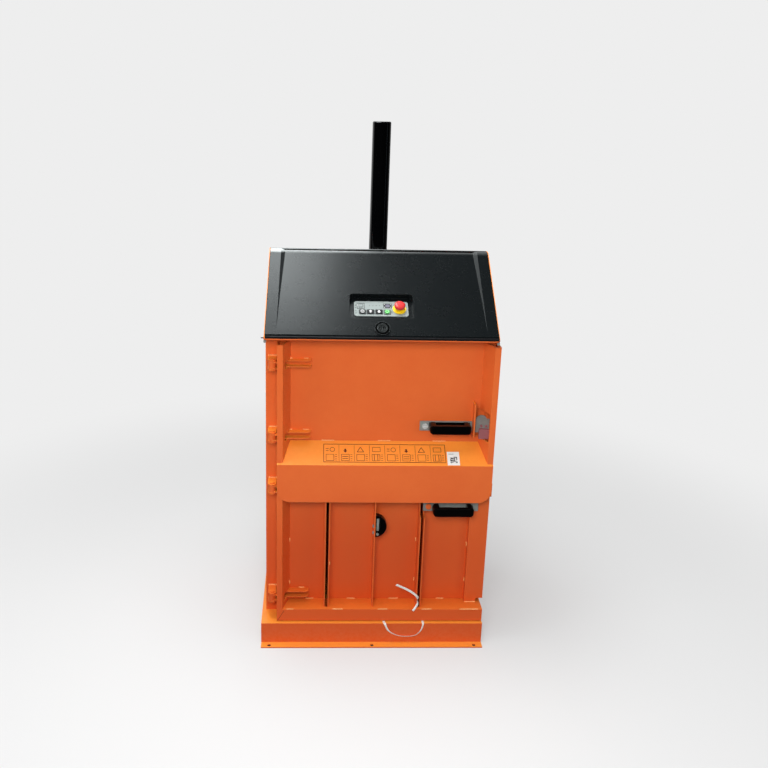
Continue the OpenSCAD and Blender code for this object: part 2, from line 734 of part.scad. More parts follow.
// Hinges: frame clevises, pins and the doors' arms
module clevis(z) translate([-hinge_x, -hinge_y, z]) {
    reach = hinge_y - body_front;
    lug_z = eye_h/2 + lug_gap;
    for (s = [lug_z, -lug_z - lug_t]) difference() {
        union() {
            translate([0, 0, s]) cylinder(r = eye_r + 1.5, h = lug_t, $fn = 64);
            box(-eye_r - 1.5, eye_r + 1.5, 0, reach, s, s + lug_t);
        }
        translate([0, 0, s - 1]) cylinder(r = pin_r, h = lug_t + 2, $fn = 64);
    }
    box(-eye_r - 1.5, eye_r + 1.5, reach - 5, reach, -lug_z - lug_t, lug_z + lug_t);
}
module hinge_brackets() color(orange) for (z = concat(lower_hinge_z, upper_hinge_z)) clevis(z);
module hinge_pins() color(orange) for (z = concat(lower_hinge_z, upper_hinge_z))
    translate([-hinge_x, -hinge_y, z]) {
        reach = eye_h/2 + lug_gap + lug_t;
        translate([0, 0, -reach - 4]) cylinder(r = pin_r, h = 2*reach + 4, $fn = 64);
        translate([0, 0, reach]) cylinder(r = pin_r + 3, h = 4, $fn = 64);
    }
module hinge_arm(z) translate([0, 0, z]) difference() {
    y_back = plate_y;
    union() {
        translate([-hinge_x, -hinge_y, -eye_h/2]) cylinder(r = eye_r, h = eye_h, $fn = 64);
        for (s = [-eye_h/2, eye_h/2 - arm_t]) translate([0, 0, s]) linear_extrude(arm_t)
            polygon([[-hinge_x, -hinge_y - eye_r], [-door_left + 10, -hinge_y - eye_r],
                [-door_left + lip_w + 12, y_back - arm_d], [-arm_end - 9, y_back - arm_d],
                [-arm_end, y_back - arm_d + 9], [-arm_end, y_back], [-door_left + 18, y_back],
                [-door_left + 8, -hinge_y + eye_r], [-hinge_x, -hinge_y + eye_r]]);
    }
    translate([-hinge_x, -hinge_y, -eye_h]) cylinder(r = pin_r + run_fit, h = 2*eye_h, $fn = 64);
}
module lower_hinge_arms() color(orange) for (z = lower_hinge_z) hinge_arm(z);
module upper_hinge_arms() color(orange) for (z = upper_hinge_z) hinge_arm(z);

// Section of a door's folded edge: outer wall, front lip and slanting inner web
module stile_section() {
    d = stile_d;
    difference() {
        polygon([[0, 0], [0, -d], [lip_w, -d], [lip_w + web_run, 0]]);
        polygon([[door_t, 1], [door_t, -d + door_t], [lip_w - 2.6, -d + door_t],
            [lip_w + web_run - 3.8, 1]]);
    }
}
module arm_notches(heights) {
    for (z = heights) box(-door_left - 1, -door_left + lip_w + web_run + 1, -hinge_y - eye_r - 0.4,
        plate_y + 1, z - eye_h/2 - 0.4, z + eye_h/2 + 0.4);
}
module below_shelf(drop) {
    y_a = plate_y + 20;
    y_b = apron_y - 20;
    z_a = shelf_z + 20*shelf_slope - drop;
    z_b = fold_z - 20*shelf_slope - drop;
    along_x(-500, 500) polygon([[y_a, z_a], [y_b, z_b], [y_b, 300], [y_a, 300]]);
}
module above_shelf(drop) {
    y_a = plate_y + 20;
    y_b = apron_y - 20;
    z_a = shelf_z + 20*shelf_slope - drop;
    z_b = fold_z - 20*shelf_slope - drop;
    along_x(-half_base, half_base) polygon([[y_a, z_a], [y_b, z_b], [y_b, roof_top], [y_a, roof_top]]);
}

// Upper door
module upper_door_panel() color(orange) difference() {
    box(-door_left, door_right, plate_y, sheet_y, shelf_z, door_top);
    box(keeper_x[0] - 4, keeper_x[1] + 4, plate_y - 1, sheet_y + 1, keeper_z[0], keeper_z[1]);
}
module upper_door_stiles() color(orange) difference() {
    union() {
        translate([-door_left, plate_y, fold_z - 20]) linear_extrude(door_top - fold_z + 20) stile_section();
        translate([door_right, plate_y, fold_z - 20]) mirror([1, 0, 0])
            linear_extrude(door_top - fold_z + 20) stile_section();
    }
    below_shelf(0);
    arm_notches(upper_hinge_z);
    box(door_right - lip_w - web_run - 2, door_right - door_t, lip_y + 5, plate_y + 1,
        keeper_z[0], keeper_z[1]);
}
module shelf_apron() color(orange) {
    t = 3;
    drop = t*sqrt(1 + shelf_slope*shelf_slope);
    bottom = fold_z - apron_h;
    difference() {
        along_x(-door_left, door_right) polygon([[plate_y, shelf_z], [apron_y, fold_z], [apron_y, bottom],
            [apron_y + t, bottom], [apron_y + t, fold_z - drop + t*shelf_slope], [plate_y, shelf_z - drop]]);
        for (s = [[-door_left, 1], [door_right, -1]]) difference() {
            translate([s[0] + s[1]*(apron_r/2 - 1), apron_y, bottom + apron_r/2 - 1])
                cube([apron_r + 2, 20, apron_r + 2], center = true);
            translate([s[0] + s[1]*apron_r, apron_y + 20, bottom + apron_r]) rotate([90, 0, 0])
                cylinder(r = apron_r, h = 40, $fn = 96);
        }
    }
}
module guide_plate() color(orange) difference() {
    box(325, 330, plate_y - 40, plate_y, upper_bar_z - 33, upper_bar_z + 87);
    box(324, 331, upper_bar_y - bar_t - 2, upper_bar_y + 2, upper_bar_z - bar_h/2 - 2, upper_bar_z + 79);
}

// Latches: a pivot bolt on the door, a flat bar that lifts, and its bow grip
module pivot(x, z, back, front, boss) {
    boss_y = front + bar_t + 1;
    translate([x, front, z]) rotate([-90, 0, 0]) cylinder(r = pin_r, h = back - front, $fn = 64);
    translate([x, front, z]) rotate([90, 0, 0]) cylinder(r = 10, h = 5, $fn = 64);
    translate([x, boss_y, z]) rotate([-90, 0, 0]) cylinder(r = boss, h = back - boss_y, $fn = 64);
}
module latch_bar(x, y, z, len) translate([x, y, z]) difference() {
    translate([0, 0, 0]) rotate([90, 0, 0]) linear_extrude(bar_t) {
        translate([0, -bar_h/2]) square([len, bar_h]);
        translate([-bar_tail, -bar_h/2]) square([bar_tail + eps, bar_h]);
    }
    translate([0, 1, 0]) rotate([90, 0, 0]) cylinder(r = pin_r + run_fit, h = bar_t + 2, $fn = 64);
}
module bow_grip(x, y, z) intersection() {
    translate([x + grip_len/2, y - grip_stand/2, z - grip_h/2]) linear_extrude(grip_h) difference() {
        rounded_rect(grip_len, grip_stand, 14);
        translate([0, 9]) square([grip_len - 44, grip_stand - 10], center = true);
    }
    translate([x + grip_len/2, y + 1, z]) rotate([90, 0, 0]) linear_extrude(grip_stand + 2)
        rounded_rect(grip_len, grip_h, 12);
}
module upper_latch_pivot() color(steel)
    pivot(upper_pivot_x, upper_bar_z, plate_y, upper_bar_y - bar_t - 0.5, 12);
module upper_latch_bar() color(steel)
    latch_bar(upper_pivot_x, upper_bar_y, upper_bar_z, upper_bar_len);
module upper_latch_grip() color(black)
    bow_grip(upper_pivot_x + 12, upper_bar_y - bar_t, upper_bar_z);
module lower_latch_pivot() color(orange)
    pivot(lower_pivot_x, lower_bar_z, plate_y, lower_bar_y - bar_t - 0.5, 11.5);
module lower_latch_bar() color(steel)
    latch_bar(lower_pivot_x, lower_bar_y, lower_bar_z, lower_bar_len);
module lower_latch_grip() color(black)
    bow_grip(lower_pivot_x + 12, lower_bar_y - bar_t, lower_bar_z - 4);

// Keepers on the right door post
module upper_keeper() color(steel) {
    top = 850;
    bottom = 788;
    front = plate_y - 22;
    mid = (keeper_x[0] + keeper_x[1])/2;
    along_y(front, front + 4) {
        translate([keeper_x[0], bottom]) square([keeper_x[1] - keeper_x[0], top - bottom - 20]);
        translate([mid - 4, top - 20]) circle(r = 20, $fn = 64);
        translate([mid - 4, top - 24]) square([keeper_x[1] - mid + 4, 10]);
    }
    box(keeper_x[1] - 4, keeper_x[1], front + 4, post_y, bottom, top - 20);
    box(345, keeper_x[1] - 4, post_y - 4, post_y, bottom, top - 20);
}
module interlock_switch() color("#b98a86") {
    front = plate_y - 22;
    box(346, 381, front - 14, front, 769, 803);
    for (x = [354, 371]) translate([x, front, 812]) rotate([90, 0, 0]) cylinder(r = 4.5, h = 5, $fn = 48);
}
module lower_keeper() color(black) {
    box(342, 384, lower_bar_y - 14, lower_bar_y - 10, keeper_low[0], keeper_low[1]);
    box(380, 384, lower_bar_y - 10, post_y, 556, 600);
    box(346, 380, post_y - 3.5, post_y, 556, 600);
}

// Lower door
module lower_door_frame() color(orange) {
    difference() {
        union() {
            translate([-door_left, plate_y, sill_z]) linear_extrude(lower_top - sill_z) stile_section();
            difference() {
                box(-door_left, door_right, lip_y, plate_y, sill_z, sill_top);
                box(-door_left - 1, door_right + 1, lip_y + door_t, plate_y - eps, sill_z + door_t,
                    sill_top - door_t);
            }
        }
        above_shelf(12);
        arm_notches(lower_hinge_z);
        both_sides() box(slot_x - slot_w/2, slot_x + slot_w/2, plate_y - rib_d, plate_y + 1,
            sill_top - door_t - 1, sill_top + 1);
    }
    box(-door_left + lip_w, door_right + 5, plate_y - rib_d - 6, plate_y - rib_d, fold_z - 120, fold_z - 72);
    box(-door_left, door_right, plate_y, sheet_y, sill_z, sill_top);
}
module lower_door_panels() color(orange) difference() {
    inner = slot_x - slot_w/2;
    outer = slot_x + slot_w/2;
    union() {
        box(-door_left, -outer, plate_y, sheet_y, sill_top, lower_top);
        box(-inner, inner, plate_y, sheet_y, sill_top, lower_top);
        box(outer, door_right, plate_y, sheet_y, sill_top, lower_top);
    }
    above_shelf(12);
    keeper_window();
}
module lower_door_ribs() color(orange) difference() {
    inner = slot_x - slot_w/2;
    outer = slot_x + slot_w/2;
    for (x = [-outer - door_t, -inner, -door_t/2, inner - door_t, outer])
        box(x, x + door_t, plate_y - rib_d, plate_y, sill_top, lower_top);
    above_shelf(12);
    box(inner - door_t - 1, outer + door_t + 1, plate_y - rib_d - 1, lower_bar_y + 4,
        lower_bar_z - bar_h, lower_bar_z + bar_h);
}
module keeper_window() {
    box(keeper_x[0] + 4, keeper_x[1] + 6, plate_y - edge_d - 1, sheet_y + 1, keeper_low[0] - 6,
        keeper_low[1] + 8);
}
module lower_door_stile() color(orange) difference() {
    x0 = door_right - edge_w + edge_over;
    x1 = door_right + edge_over;
    translate([0, 0, sill_top]) linear_extrude(lower_top - edge_head - sill_top) difference() {
        translate([x0, plate_y - edge_d]) square([x1 - x0, edge_d]);
        translate([x0 + edge_t, plate_y - edge_d + edge_t]) square([x1 - x0 - 2*edge_t, edge_d]);
    }
    box(x1 - 25, x1 + 1, plate_y - edge_d - 1, plate_y + 1, sill_top - 1, sill_top + 16);
    keeper_window();
}

// Strap cutter on the middle rib
module strap_cutter() color(black) {
    y0 = plate_y - rib_d + 3;
    z = 446;
    difference() {
        along_y(y0, y0 + 22) intersection() {
            translate([0, z]) circle(r = 41, $fn = 96);
            translate([door_t/2, z - 50]) square([60, 100]);
        }
        box(16, 19, y0 - 1, y0 + 14, z - 12, z + 60);
    }
}
module cutter_blade() color(steel) {
    y0 = plate_y - rib_d;
    box(6, 14, y0 + 1.5, y0 + 3, 430, 476);
    for (z = [417, 442]) {
        translate([10, y0 + 3, z]) rotate([90, 0, 0]) cylinder(r = 4.5, h = 4, $fn = 48);
        translate([-door_t/2, y0 + 14, z]) rotate([0, -90, 0]) hex_head(6, 5);
    }
}

// Hood: raised borders, sunken centre panel, rounded crest and skirts, in the slope's own frame
module in_slope() {
    translate([0, rim_y, rim_top]) rotate([slope, 0, 0]) children();
}
module crest_wedge() {
    wrap_end = 90 - slope - crest_wrap;
    far = 2*crest_r;
    translate([slope_len, -crest_r])
        polygon([[-1, 0], [-1, far], [far*cos(50), far*sin(50)], [far*cos(wrap_end), far*sin(wrap_end)],
            [0, 0]]);
}
module crest_band(x0, r0, x1, r1) intersection() {
    translate([0, slope_len, -crest_r]) rotate([0, 90, 0]) rotate_extrude($fn = 96)
        polygon([[r0 - hood_t, x0], [r0, x0], [r1, x1], [r1 - hood_t, x1]]);
    along_x(x0, x1) crest_wedge();
}
function side_at(x, u) = x - sign(x)*slant*u;
module hood_strip(xa, xb, u0, u1, w0, w1) {
    translate([0, 0, w0]) linear_extrude(w1 - w0)
        polygon([[side_at(xa, u0), u0], [side_at(xb, u0), u0], [side_at(xb, u1), u1], [side_at(xa, u1), u1]]);
}
module in_panel() {
    in_slope() translate([0, pocket_y + 14, -8]) rotate([-panel_tilt, 0, 0]) children();
}
module hood_shell() color(black) {
    bend_low = 29;
    bend_mid = 157;
    mid_sink = 0.35*panel_sink;
    u0 = lip_run;
    lip_front = rim_y + lip_run*cos(slope);
    inner_low = hood_low - border_w;
    inner_top = hood_top - border_w;
    flank_w = panel_sink/tan(flank_tilt);
    pocket_mid = pocket_y + pocket_h/2;
    difference() {
        union() {
            in_slope() {
                both_sides() {
                    hood_strip(-hood_low, -inner_low, u0, slope_len, -hood_t, 0);
                    difference() {
                        hood_strip(-inner_low - 4, -inner_low + flank_w, bend_low, slope_len,
                            -panel_sink - hood_t, 0);
                        translate([-inner_low, 0, 0]) rotate([0, 0, -atan(slant)]) rotate([0, flank_tilt, 0])
                            cube([60, slope_len + 60, 40]);
                    }
                    hood_strip(-hood_low, -hood_low + hood_t, u0, 270, -skirt_d, 0);
                    crest_band(-hood_top, crest_r, -inner_top, crest_r);
                    crest_band(-inner_top, crest_r, -inner_top + flank_w, crest_r - panel_sink);
                    along_x(-hood_top, -hood_top + hood_ear_t) translate([slope_len, -crest_r]) difference() {
                        circle(r = crest_r - 1, $fn = 96);
                        circle(r = hood_pin_r + run_fit, $fn = 64);
                    }
                }
                hood_strip(-inner_low - 2, inner_low + 2, u0, bend_low, -hood_t, 0);
                intersection() {
                    along_x(-hood_low, hood_low) polygon([[bend_low, 0], [bend_mid, -mid_sink],
                        [slope_len, -panel_sink], [slope_len, -panel_sink - hood_t],
                        [bend_mid, -mid_sink - hood_t], [bend_low, -hood_t]]);
                    hood_strip(-inner_low - 2, inner_low + 2, 0, slope_len, -40, 10);
                }
                crest_band(-inner_top + flank_w, crest_r - panel_sink, inner_top - flank_w,
                    crest_r - panel_sink);
                translate([0, pocket_mid, -36]) linear_extrude(34)
                    rounded_rect(pocket_w + 6, pocket_h + 6, 15);
            }
            box(-hood_low, hood_low, lip_front, lip_front + hood_t, rim_top, rim_top + lip_run*sin(slope));
        }
        intersection() {
            in_slope() translate([0, pocket_mid, -40]) linear_extrude(50)
                rounded_rect(pocket_w, pocket_h, 12);
            difference() {
                in_panel() translate([-200, -100, -100]) cube([400, 300, 180]);
                in_panel() translate([-200, -100, -4 - hood_t]) cube([400, 300, hood_t]);
            }
        }
        in_slope() translate([0, lock_u, -60]) cylinder(r = knob_r + 0.6, h = 80, $fn = 64);
        box(-hood_low - 1, hood_low + 1, rim_y - 50, 0, rim_z - 50, rim_top + 1);
    }
}
module control_panel() color(grey) in_panel() difference() {
    translate([0, panel_h/2, -4]) linear_extrude(4) rounded_rect(panel_w, panel_h, 8);
    for (k = [[-62.5, 17], [-36, 17], [-8, 17], [19, 17]])
        translate([k[0], k[1], -3]) cylinder(r = 3 + run_fit, h = 5, $fn = 48);
}
module key_at(x, p, w, h) in_panel() translate([x, p, 0]) {
    translate([0, 0, -1.6]) cylinder(r = 3, h = 3.2, $fn = 48);
    translate([0, 0, key_travel + 0.3]) linear_extrude(2.4) rounded_rect(w, h, 2);
}
module mode_key() color(black) key_at(-62.5, 17, 20, 17);
module up_key() color(black) key_at(-36, 17, 23, 17);
module down_key() color(black) key_at(-8, 17, 23, 17);
module start_key() color("#2f9e3c") in_panel() translate([19, 17, 0]) {
    translate([0, 0, -1.6]) cylinder(r = 3, h = 3.2, $fn = 48);
    translate([0, 0, key_travel + 0.3]) cylinder(r = 8, h = 3, $fn = 64);
}
module estop_collar() color("#f2c200") in_panel() translate([estop_x, estop_p, 0]) difference() {
    union() {
        cylinder(r = 22, h = 3, $fn = 96);
        cylinder(r = 14, h = 8.5, $fn = 96);
    }
    translate([0, 0, -1]) cylinder(r = 10 + run_fit, h = 12, $fn = 96);
}
module estop_head() color("#c8201e") in_panel() translate([estop_x, estop_p, 0]) {
    translate([0, 0, 4.6]) cylinder(r = 10, h = 9, $fn = 96);
    translate([0, 0, 13]) rotate_extrude($fn = 96)
        polygon([[0, 0], [16, 0], [18, 2], [18, 8], [15, 11.4], [10, 13], [0, 13.6]]);
}
module lock_ring() color(black) in_slope() translate([0, lock_u, 0]) difference() {
    cylinder(r = knob_r + 9, h = 5, $fn = 96);
    translate([0, 0, -1]) cylinder(r = knob_r + run_fit, h = 10, $fn = 96);
}
module lock_knob() color(black) in_slope() translate([0, lock_u, 0]) {
    difference() {
        translate([0, 0, -12]) cylinder(r = knob_r, h = 20, $fn = 96);
        translate([0, 0, 3]) cylinder(r = knob_r - 3.5, h = 6, $fn = 96);
    }
    difference() {
        cylinder(r = key_plug_r, h = 6, $fn = 64);
        translate([0, 0, 5]) cube([2, 2*key_plug_r - 4, 4], center = true);
    }
    translate([-8, -15, -16]) cube([16, 31, 4]);
}

// Flexible runs: an oval section swept along hand-placed points, its wide side along lay
function unit(v) = v/norm(v);
function tangent_at(p, i) = unit(p[min(i + 1, len(p) - 1)] - p[max(i - 1, 0)]);
module sweep(p, a, b, lay, n) {
    ring = [for (i = [0:len(p) - 1])
        let (t = tangent_at(p, i), s = unit(lay[i] - (lay[i]*t)*t), u = cross(s, t))
        for (k = [0:n - 1]) p[i] + a*cos(360*k/n)*s + b*sin(360*k/n)*u];
    sides = [for (i = [0:len(p) - 2], k = [0:n - 1], half = [0, 1]) half == 0
        ? [i*n + k, i*n + (k + 1)%n, (i + 1)*n + (k + 1)%n]
        : [i*n + k, (i + 1)*n + (k + 1)%n, (i + 1)*n + k]];
    first = [[for (k = [0:n - 1]) n - 1 - k]];
    last = [[for (k = [0:n - 1]) (len(p) - 1)*n + k]];
    polyhedron(points = ring, faces = concat(sides, first, last), convexity = 6);
}

// Free ends of the bale straps
strap_a = strap_w/2;
strap_b = strap_t/2;
loop_path = [[42, 20, 0.6], [42, 10, 0.6], [44, 0.5, 1.2], [46, -3, -2], [50, -5, -11],
    [57, -6, -24], [68, -6, -34], [83, -6, -42], [99, -6, -47], [115, -6, -49], [133, -6, -49],
    [151, -6, -46], [163, -6, -39], [172, -6, -29], [178, -5, -18], [181, -4, -7], [182, -3, -2],
    [182, 0.5, 1.2], [182, 10, 0.6], [182, 20, 0.6]];
long_path = [[-1.8, -32, 26], [-1.8, -42, 27], [-1.8, -52, 30], [-2.4, -60, 37], [-7, -65, 47],
    [-18, -69, 60], [-33, -71, 72], [-48, -73, 82], [-65, -74, 91], [-84, -75, 100]];
short_path = [[-1.8, -32, 20], [-1.8, -44, 20], [-1.8, -54, 19], [-3.4, -63, 16], [-8, -70, 12],
    [-14, -75, 5], [-21, -78, -3]];
loop_lay = [for (i = [0:len(loop_path) - 1]) let (f = 180*i/(len(loop_path) - 1))
    [cos(f), -0.7*sin(f), 0.7*sin(f)]];
module strap_loop() color("white") translate([0, -half_deck, base_h])
    sweep(loop_path, strap_a, strap_b, loop_lay, 8);
module strap_tail_long() color("white") translate([slot_x, plate_y, sill_top])
    sweep(long_path, strap_a, strap_b, [for (p = long_path) [1, 0, 1.2]], 8);
module strap_tail_short() color("white") translate([slot_x, plate_y, sill_top])
    sweep(short_path, strap_a, strap_b, [for (p = short_path) [1, 0, -1.2]], 8);

base_frame();
left_side_wall();
right_side_wall();
rear_wall();
door_posts();
chamber_side_liners();
chamber_rear_liner();
chamber_floor();
roof_plate();
top_casing();
top_cap();
rear_lid();
cylinder_foot();
cylinder_barrel();
piston_rod();
press_plate();
oil_tank();
pump_motor();
valve_block();
hydraulic_hose();
electrical_box();
reel_bracket();
left_reel();
right_reel();
hinge_brackets();
hinge_pins();
lower_door_frame();
lower_door_panels();
lower_door_ribs();
lower_door_stile();
lower_hinge_arms();
strap_cutter();
cutter_blade();
lower_latch_pivot();
lower_latch_bar();
lower_latch_grip();
lower_keeper();
upper_door_panel();
upper_door_stiles();
shelf_apron();
upper_hinge_arms();
guide_plate();
upper_latch_pivot();
upper_latch_bar();
upper_latch_grip();
upper_keeper();
interlock_switch();
hood_shell();
control_panel();
start_key();
up_key();
down_key();
mode_key();
estop_collar();
estop_head();
lock_ring();
lock_knob();
strap_loop();
strap_tail_long();
strap_tail_short();
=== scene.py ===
import json
import math
import random
import bpy
import bmesh
from mathutils import Matrix, Vector


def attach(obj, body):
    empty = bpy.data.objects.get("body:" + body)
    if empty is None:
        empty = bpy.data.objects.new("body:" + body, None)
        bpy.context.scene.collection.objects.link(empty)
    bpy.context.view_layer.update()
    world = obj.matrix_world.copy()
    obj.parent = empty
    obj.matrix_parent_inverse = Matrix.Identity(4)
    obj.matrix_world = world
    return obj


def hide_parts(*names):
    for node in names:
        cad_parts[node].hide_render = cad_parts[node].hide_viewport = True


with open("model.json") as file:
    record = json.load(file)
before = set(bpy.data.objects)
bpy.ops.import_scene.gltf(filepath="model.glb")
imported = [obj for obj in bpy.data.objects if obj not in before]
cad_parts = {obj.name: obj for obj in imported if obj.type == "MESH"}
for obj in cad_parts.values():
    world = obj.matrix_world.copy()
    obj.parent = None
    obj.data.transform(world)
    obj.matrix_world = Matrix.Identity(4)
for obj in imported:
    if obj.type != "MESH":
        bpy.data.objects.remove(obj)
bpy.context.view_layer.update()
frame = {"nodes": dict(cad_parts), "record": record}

random.seed(7)
print("frame loaded:", len(frame["nodes"]), "nodes")

# camera, placed from the photo's own perspective
cameraView = {"place": (-0.23246, -3.06505, 1.87357), "yaw": 2.4224, "pitch": 16.495, "roll": -1.3648,
              "focalPixels": 884.0, "framePixels": 768.0, "middle": (345.9, 360.2), "sensor": 36.0}


def makeCamera():
    yaw, pitch, roll = (math.radians(cameraView[k]) for k in ("yaw", "pitch", "roll"))
    ahead = Vector((math.sin(yaw) * math.cos(pitch), math.cos(yaw) * math.cos(pitch), -math.sin(pitch)))
    level = Vector((math.cos(yaw), -math.sin(yaw), 0))
    below = ahead.cross(level)
    right = math.cos(roll) * level + math.sin(roll) * below
    down = -math.sin(roll) * level + math.cos(roll) * below
    turn = Matrix((right, -down, -ahead)).transposed().to_4x4()
    data = bpy.data.cameras.new("photoCamera")
    data.sensor_width = cameraView["sensor"]
    data.lens = cameraView["sensor"] * cameraView["focalPixels"] / cameraView["framePixels"]
    half = cameraView["framePixels"] / 2
    data.shift_x = (half - cameraView["middle"][0]) / cameraView["framePixels"]
    data.shift_y = (cameraView["middle"][1] - half) / cameraView["framePixels"]
    camera = bpy.data.objects.new("photoCamera", data)
    camera.matrix_world = Matrix.Translation(cameraView["place"]) @ turn
    bpy.context.scene.collection.objects.link(camera)
    bpy.context.scene.camera = camera


makeCamera()
print("camera set")


def addPiece(name, mesh, body, material=None):
    piece = bpy.data.objects.new(name, mesh)
    bpy.context.scene.collection.objects.link(piece)
    if body:
        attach(piece, body)
    if material:
        mesh.materials.append(material)
    return piece


def meshFrom(bm, name, smooth=True):
    bmesh.ops.recalc_face_normals(bm, faces=bm.faces[:])
    mesh = bpy.data.meshes.new(name)
    bm.to_mesh(mesh)
    bm.free()
    for face in mesh.polygons:
        face.use_smooth = smooth
    return mesh


# strap ends, on the same routes as the solids they stand for
strapBand = {"width": 0.0086, "thickness": 0.0014, "steps": 4, "sides": 12}
loopPoints = [[42, -294, 80.6], [42, -304, 80.6], [44, -313.5, 81.2], [46, -317, 78], [50, -319, 69],
              [57, -320, 56], [68, -320, 46], [83, -320, 38], [99, -320, 33], [115, -320, 31],
              [133, -320, 31], [151, -320, 34], [163, -320, 41], [172, -320, 51], [178, -319, 62],
              [181, -318, 73], [182, -317, 78], [182, -313.5, 81.2], [182, -304, 80.6], [182, -294, 80.6]]
longPoints = [[163.2, -262, 156], [163.2, -272, 157], [163.2, -282, 160], [162.6, -290, 167], [158, -295, 177],
              [147, -299, 190], [132, -301, 202], [117, -303, 212], [100, -304, 221], [81, -305, 230]]
shortPoints = [[163.2, -262, 150], [163.2, -274, 150], [163.2, -284, 149], [161.6, -293, 146],
               [157, -300, 142], [151, -305, 135], [144, -308, 127]]


def smoothRoute(points, steps):
    pts = [Vector(p) / 1000 for p in points]
    route = []
    for i in range(len(pts) - 1):
        a, b, c, d = pts[max(i - 1, 0)], pts[i], pts[i + 1], pts[min(i + 2, len(pts) - 1)]
        for k in range(steps):
            t = k / steps
            route.append(0.5 * (2 * b + (c - a) * t + (2 * a - 5 * b + 4 * c - d) * t * t
                                + (3 * b - a - 3 * c + d) * t ** 3))
    return route + [pts[-1]]


def strapBody(name, points, layAt, body, replaced, material):
    route = smoothRoute(points, strapBand["steps"])
    bm = bmesh.new()
    bmesh.ops.create_circle(bm, segments=strapBand["sides"], radius=0.5, cap_ends=False)
    ring = bm.edges[:]
    shape = [v.co.copy() for v in bm.verts]
    uv = bm.verts.layers.float.new("along")
    run = 0.0
    for i, place in enumerate(route):
        t = (route[min(i + 1, len(route) - 1)] - route[max(i - 1, 0)]).normalized()
        wide = layAt(i / (len(route) - 1))
        wide = (wide - wide.dot(t) * t).normalized()
        thin = wide.cross(t)
        if i:
            run += (place - route[i - 1]).length
            grown = bmesh.ops.extrude_edge_only(bm, edges=ring)["geom"]
            ring = [e for e in grown if isinstance(e, bmesh.types.BMEdge) and not e.is_wire
                    and len(e.link_faces) == 1]
        for k, v in enumerate(bm.verts[-strapBand["sides"]:] if i else bm.verts[:]):
            v.co = place + wide * shape[k].x * strapBand["width"] + thin * shape[k].y * strapBand["thickness"]
            v[uv] = run
        bm.verts.ensure_lookup_table()
    bmesh.ops.holes_fill(bm, edges=[e for e in bm.edges if len(e.link_faces) == 1], sides=0)
    piece = addPiece(name, meshFrom(bm, name), body, material)
    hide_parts(replaced)
    print("strap", name, "length", round(run, 4))
    return piece


def newMaterial(name):
    material = bpy.data.materials.new(name)
    material.use_nodes = True
    tree = material.node_tree
    for node in list(tree.nodes):
        tree.nodes.remove(node)
    shader = tree.nodes.new("ShaderNodeBsdfPrincipled")
    output = tree.nodes.new("ShaderNodeOutputMaterial")
    shader.location = (600, 0)
    output.location = (900, 0)
    tree.links.new(shader.outputs["BSDF"], output.inputs["Surface"])
    return material, tree, shader


def groupNode(tree, group, **values):
    node = tree.nodes.new("ShaderNodeGroup")
    node.node_tree = group
    for key, value in values.items():
        node.inputs[key].default_value = value
    return node


def newGroup(name, inputs, outputs):
    group = bpy.data.node_groups.new(name, "ShaderNodeTree")
    for label, kind, value in inputs:
        socket = group.interface.new_socket(label, in_out="INPUT", socket_type=kind)
        if value is not None:
            socket.default_value = value
    for label, kind in outputs:
        group.interface.new_socket(label, in_out="OUTPUT", socket_type=kind)
    return group, group.nodes.new("NodeGroupInput"), group.nodes.new("NodeGroupOutput")


def makePeelGroup():
    # powder coat's fine peel, laid over rounded edges
    group, gIn, gOut = newGroup("peelNormal", [("Scale", "NodeSocketFloat", 420.0),
                                               ("Strength", "NodeSocketFloat", 0.12),
                                               ("Rounding", "NodeSocketFloat", 0.0016)],
                                [("Normal", "NodeSocketVector")])
    nodes, links = group.nodes, group.links
    coords = nodes.new("ShaderNodeTexCoord")
    noise = nodes.new("ShaderNodeTexNoise")
    noise.inputs["Detail"].default_value = 2.0
    bevel = nodes.new("ShaderNodeBevel")
    bevel.samples = 4
    links.new(gIn.outputs["Rounding"], bevel.inputs["Radius"])
    bump = nodes.new("ShaderNodeBump")
    bump.inputs["Distance"].default_value = 0.0004
    links.new(coords.outputs["Object"], noise.inputs["Vector"])
    links.new(gIn.outputs["Scale"], noise.inputs["Scale"])
    links.new(noise.outputs["Fac"], bump.inputs["Height"])
    links.new(gIn.outputs["Strength"], bump.inputs["Strength"])
    links.new(bevel.outputs["Normal"], bump.inputs["Normal"])
    links.new(bump.outputs["Normal"], gOut.inputs["Normal"])
    return group


def makeEdgeHighlightGroup():
    # painted highlight: bright where a rounded edge turns away from its own face
    group, gIn, gOut = newGroup("edgeMask", [("Radius", "NodeSocketFloat", 0.002)],
                                [("Mask", "NodeSocketFloat")])
    nodes, links = group.nodes, group.links
    bevel = nodes.new("ShaderNodeBevel")
    bevel.samples = 4
    shape = nodes.new("ShaderNodeNewGeometry")
    dot = nodes.new("ShaderNodeVectorMath")
    dot.operation = "DOT_PRODUCT"
    ramp = nodes.new("ShaderNodeMapRange")
    ramp.inputs["From Min"].default_value = 0.995
    ramp.inputs["From Max"].default_value = 0.86
    links.new(gIn.outputs["Radius"], bevel.inputs["Radius"])
    links.new(bevel.outputs["Normal"], dot.inputs[0])
    links.new(shape.outputs["Normal"], dot.inputs[1])
    links.new(dot.outputs["Value"], ramp.inputs["Value"])
    links.new(ramp.outputs["Result"], gOut.inputs["Mask"])
    return group


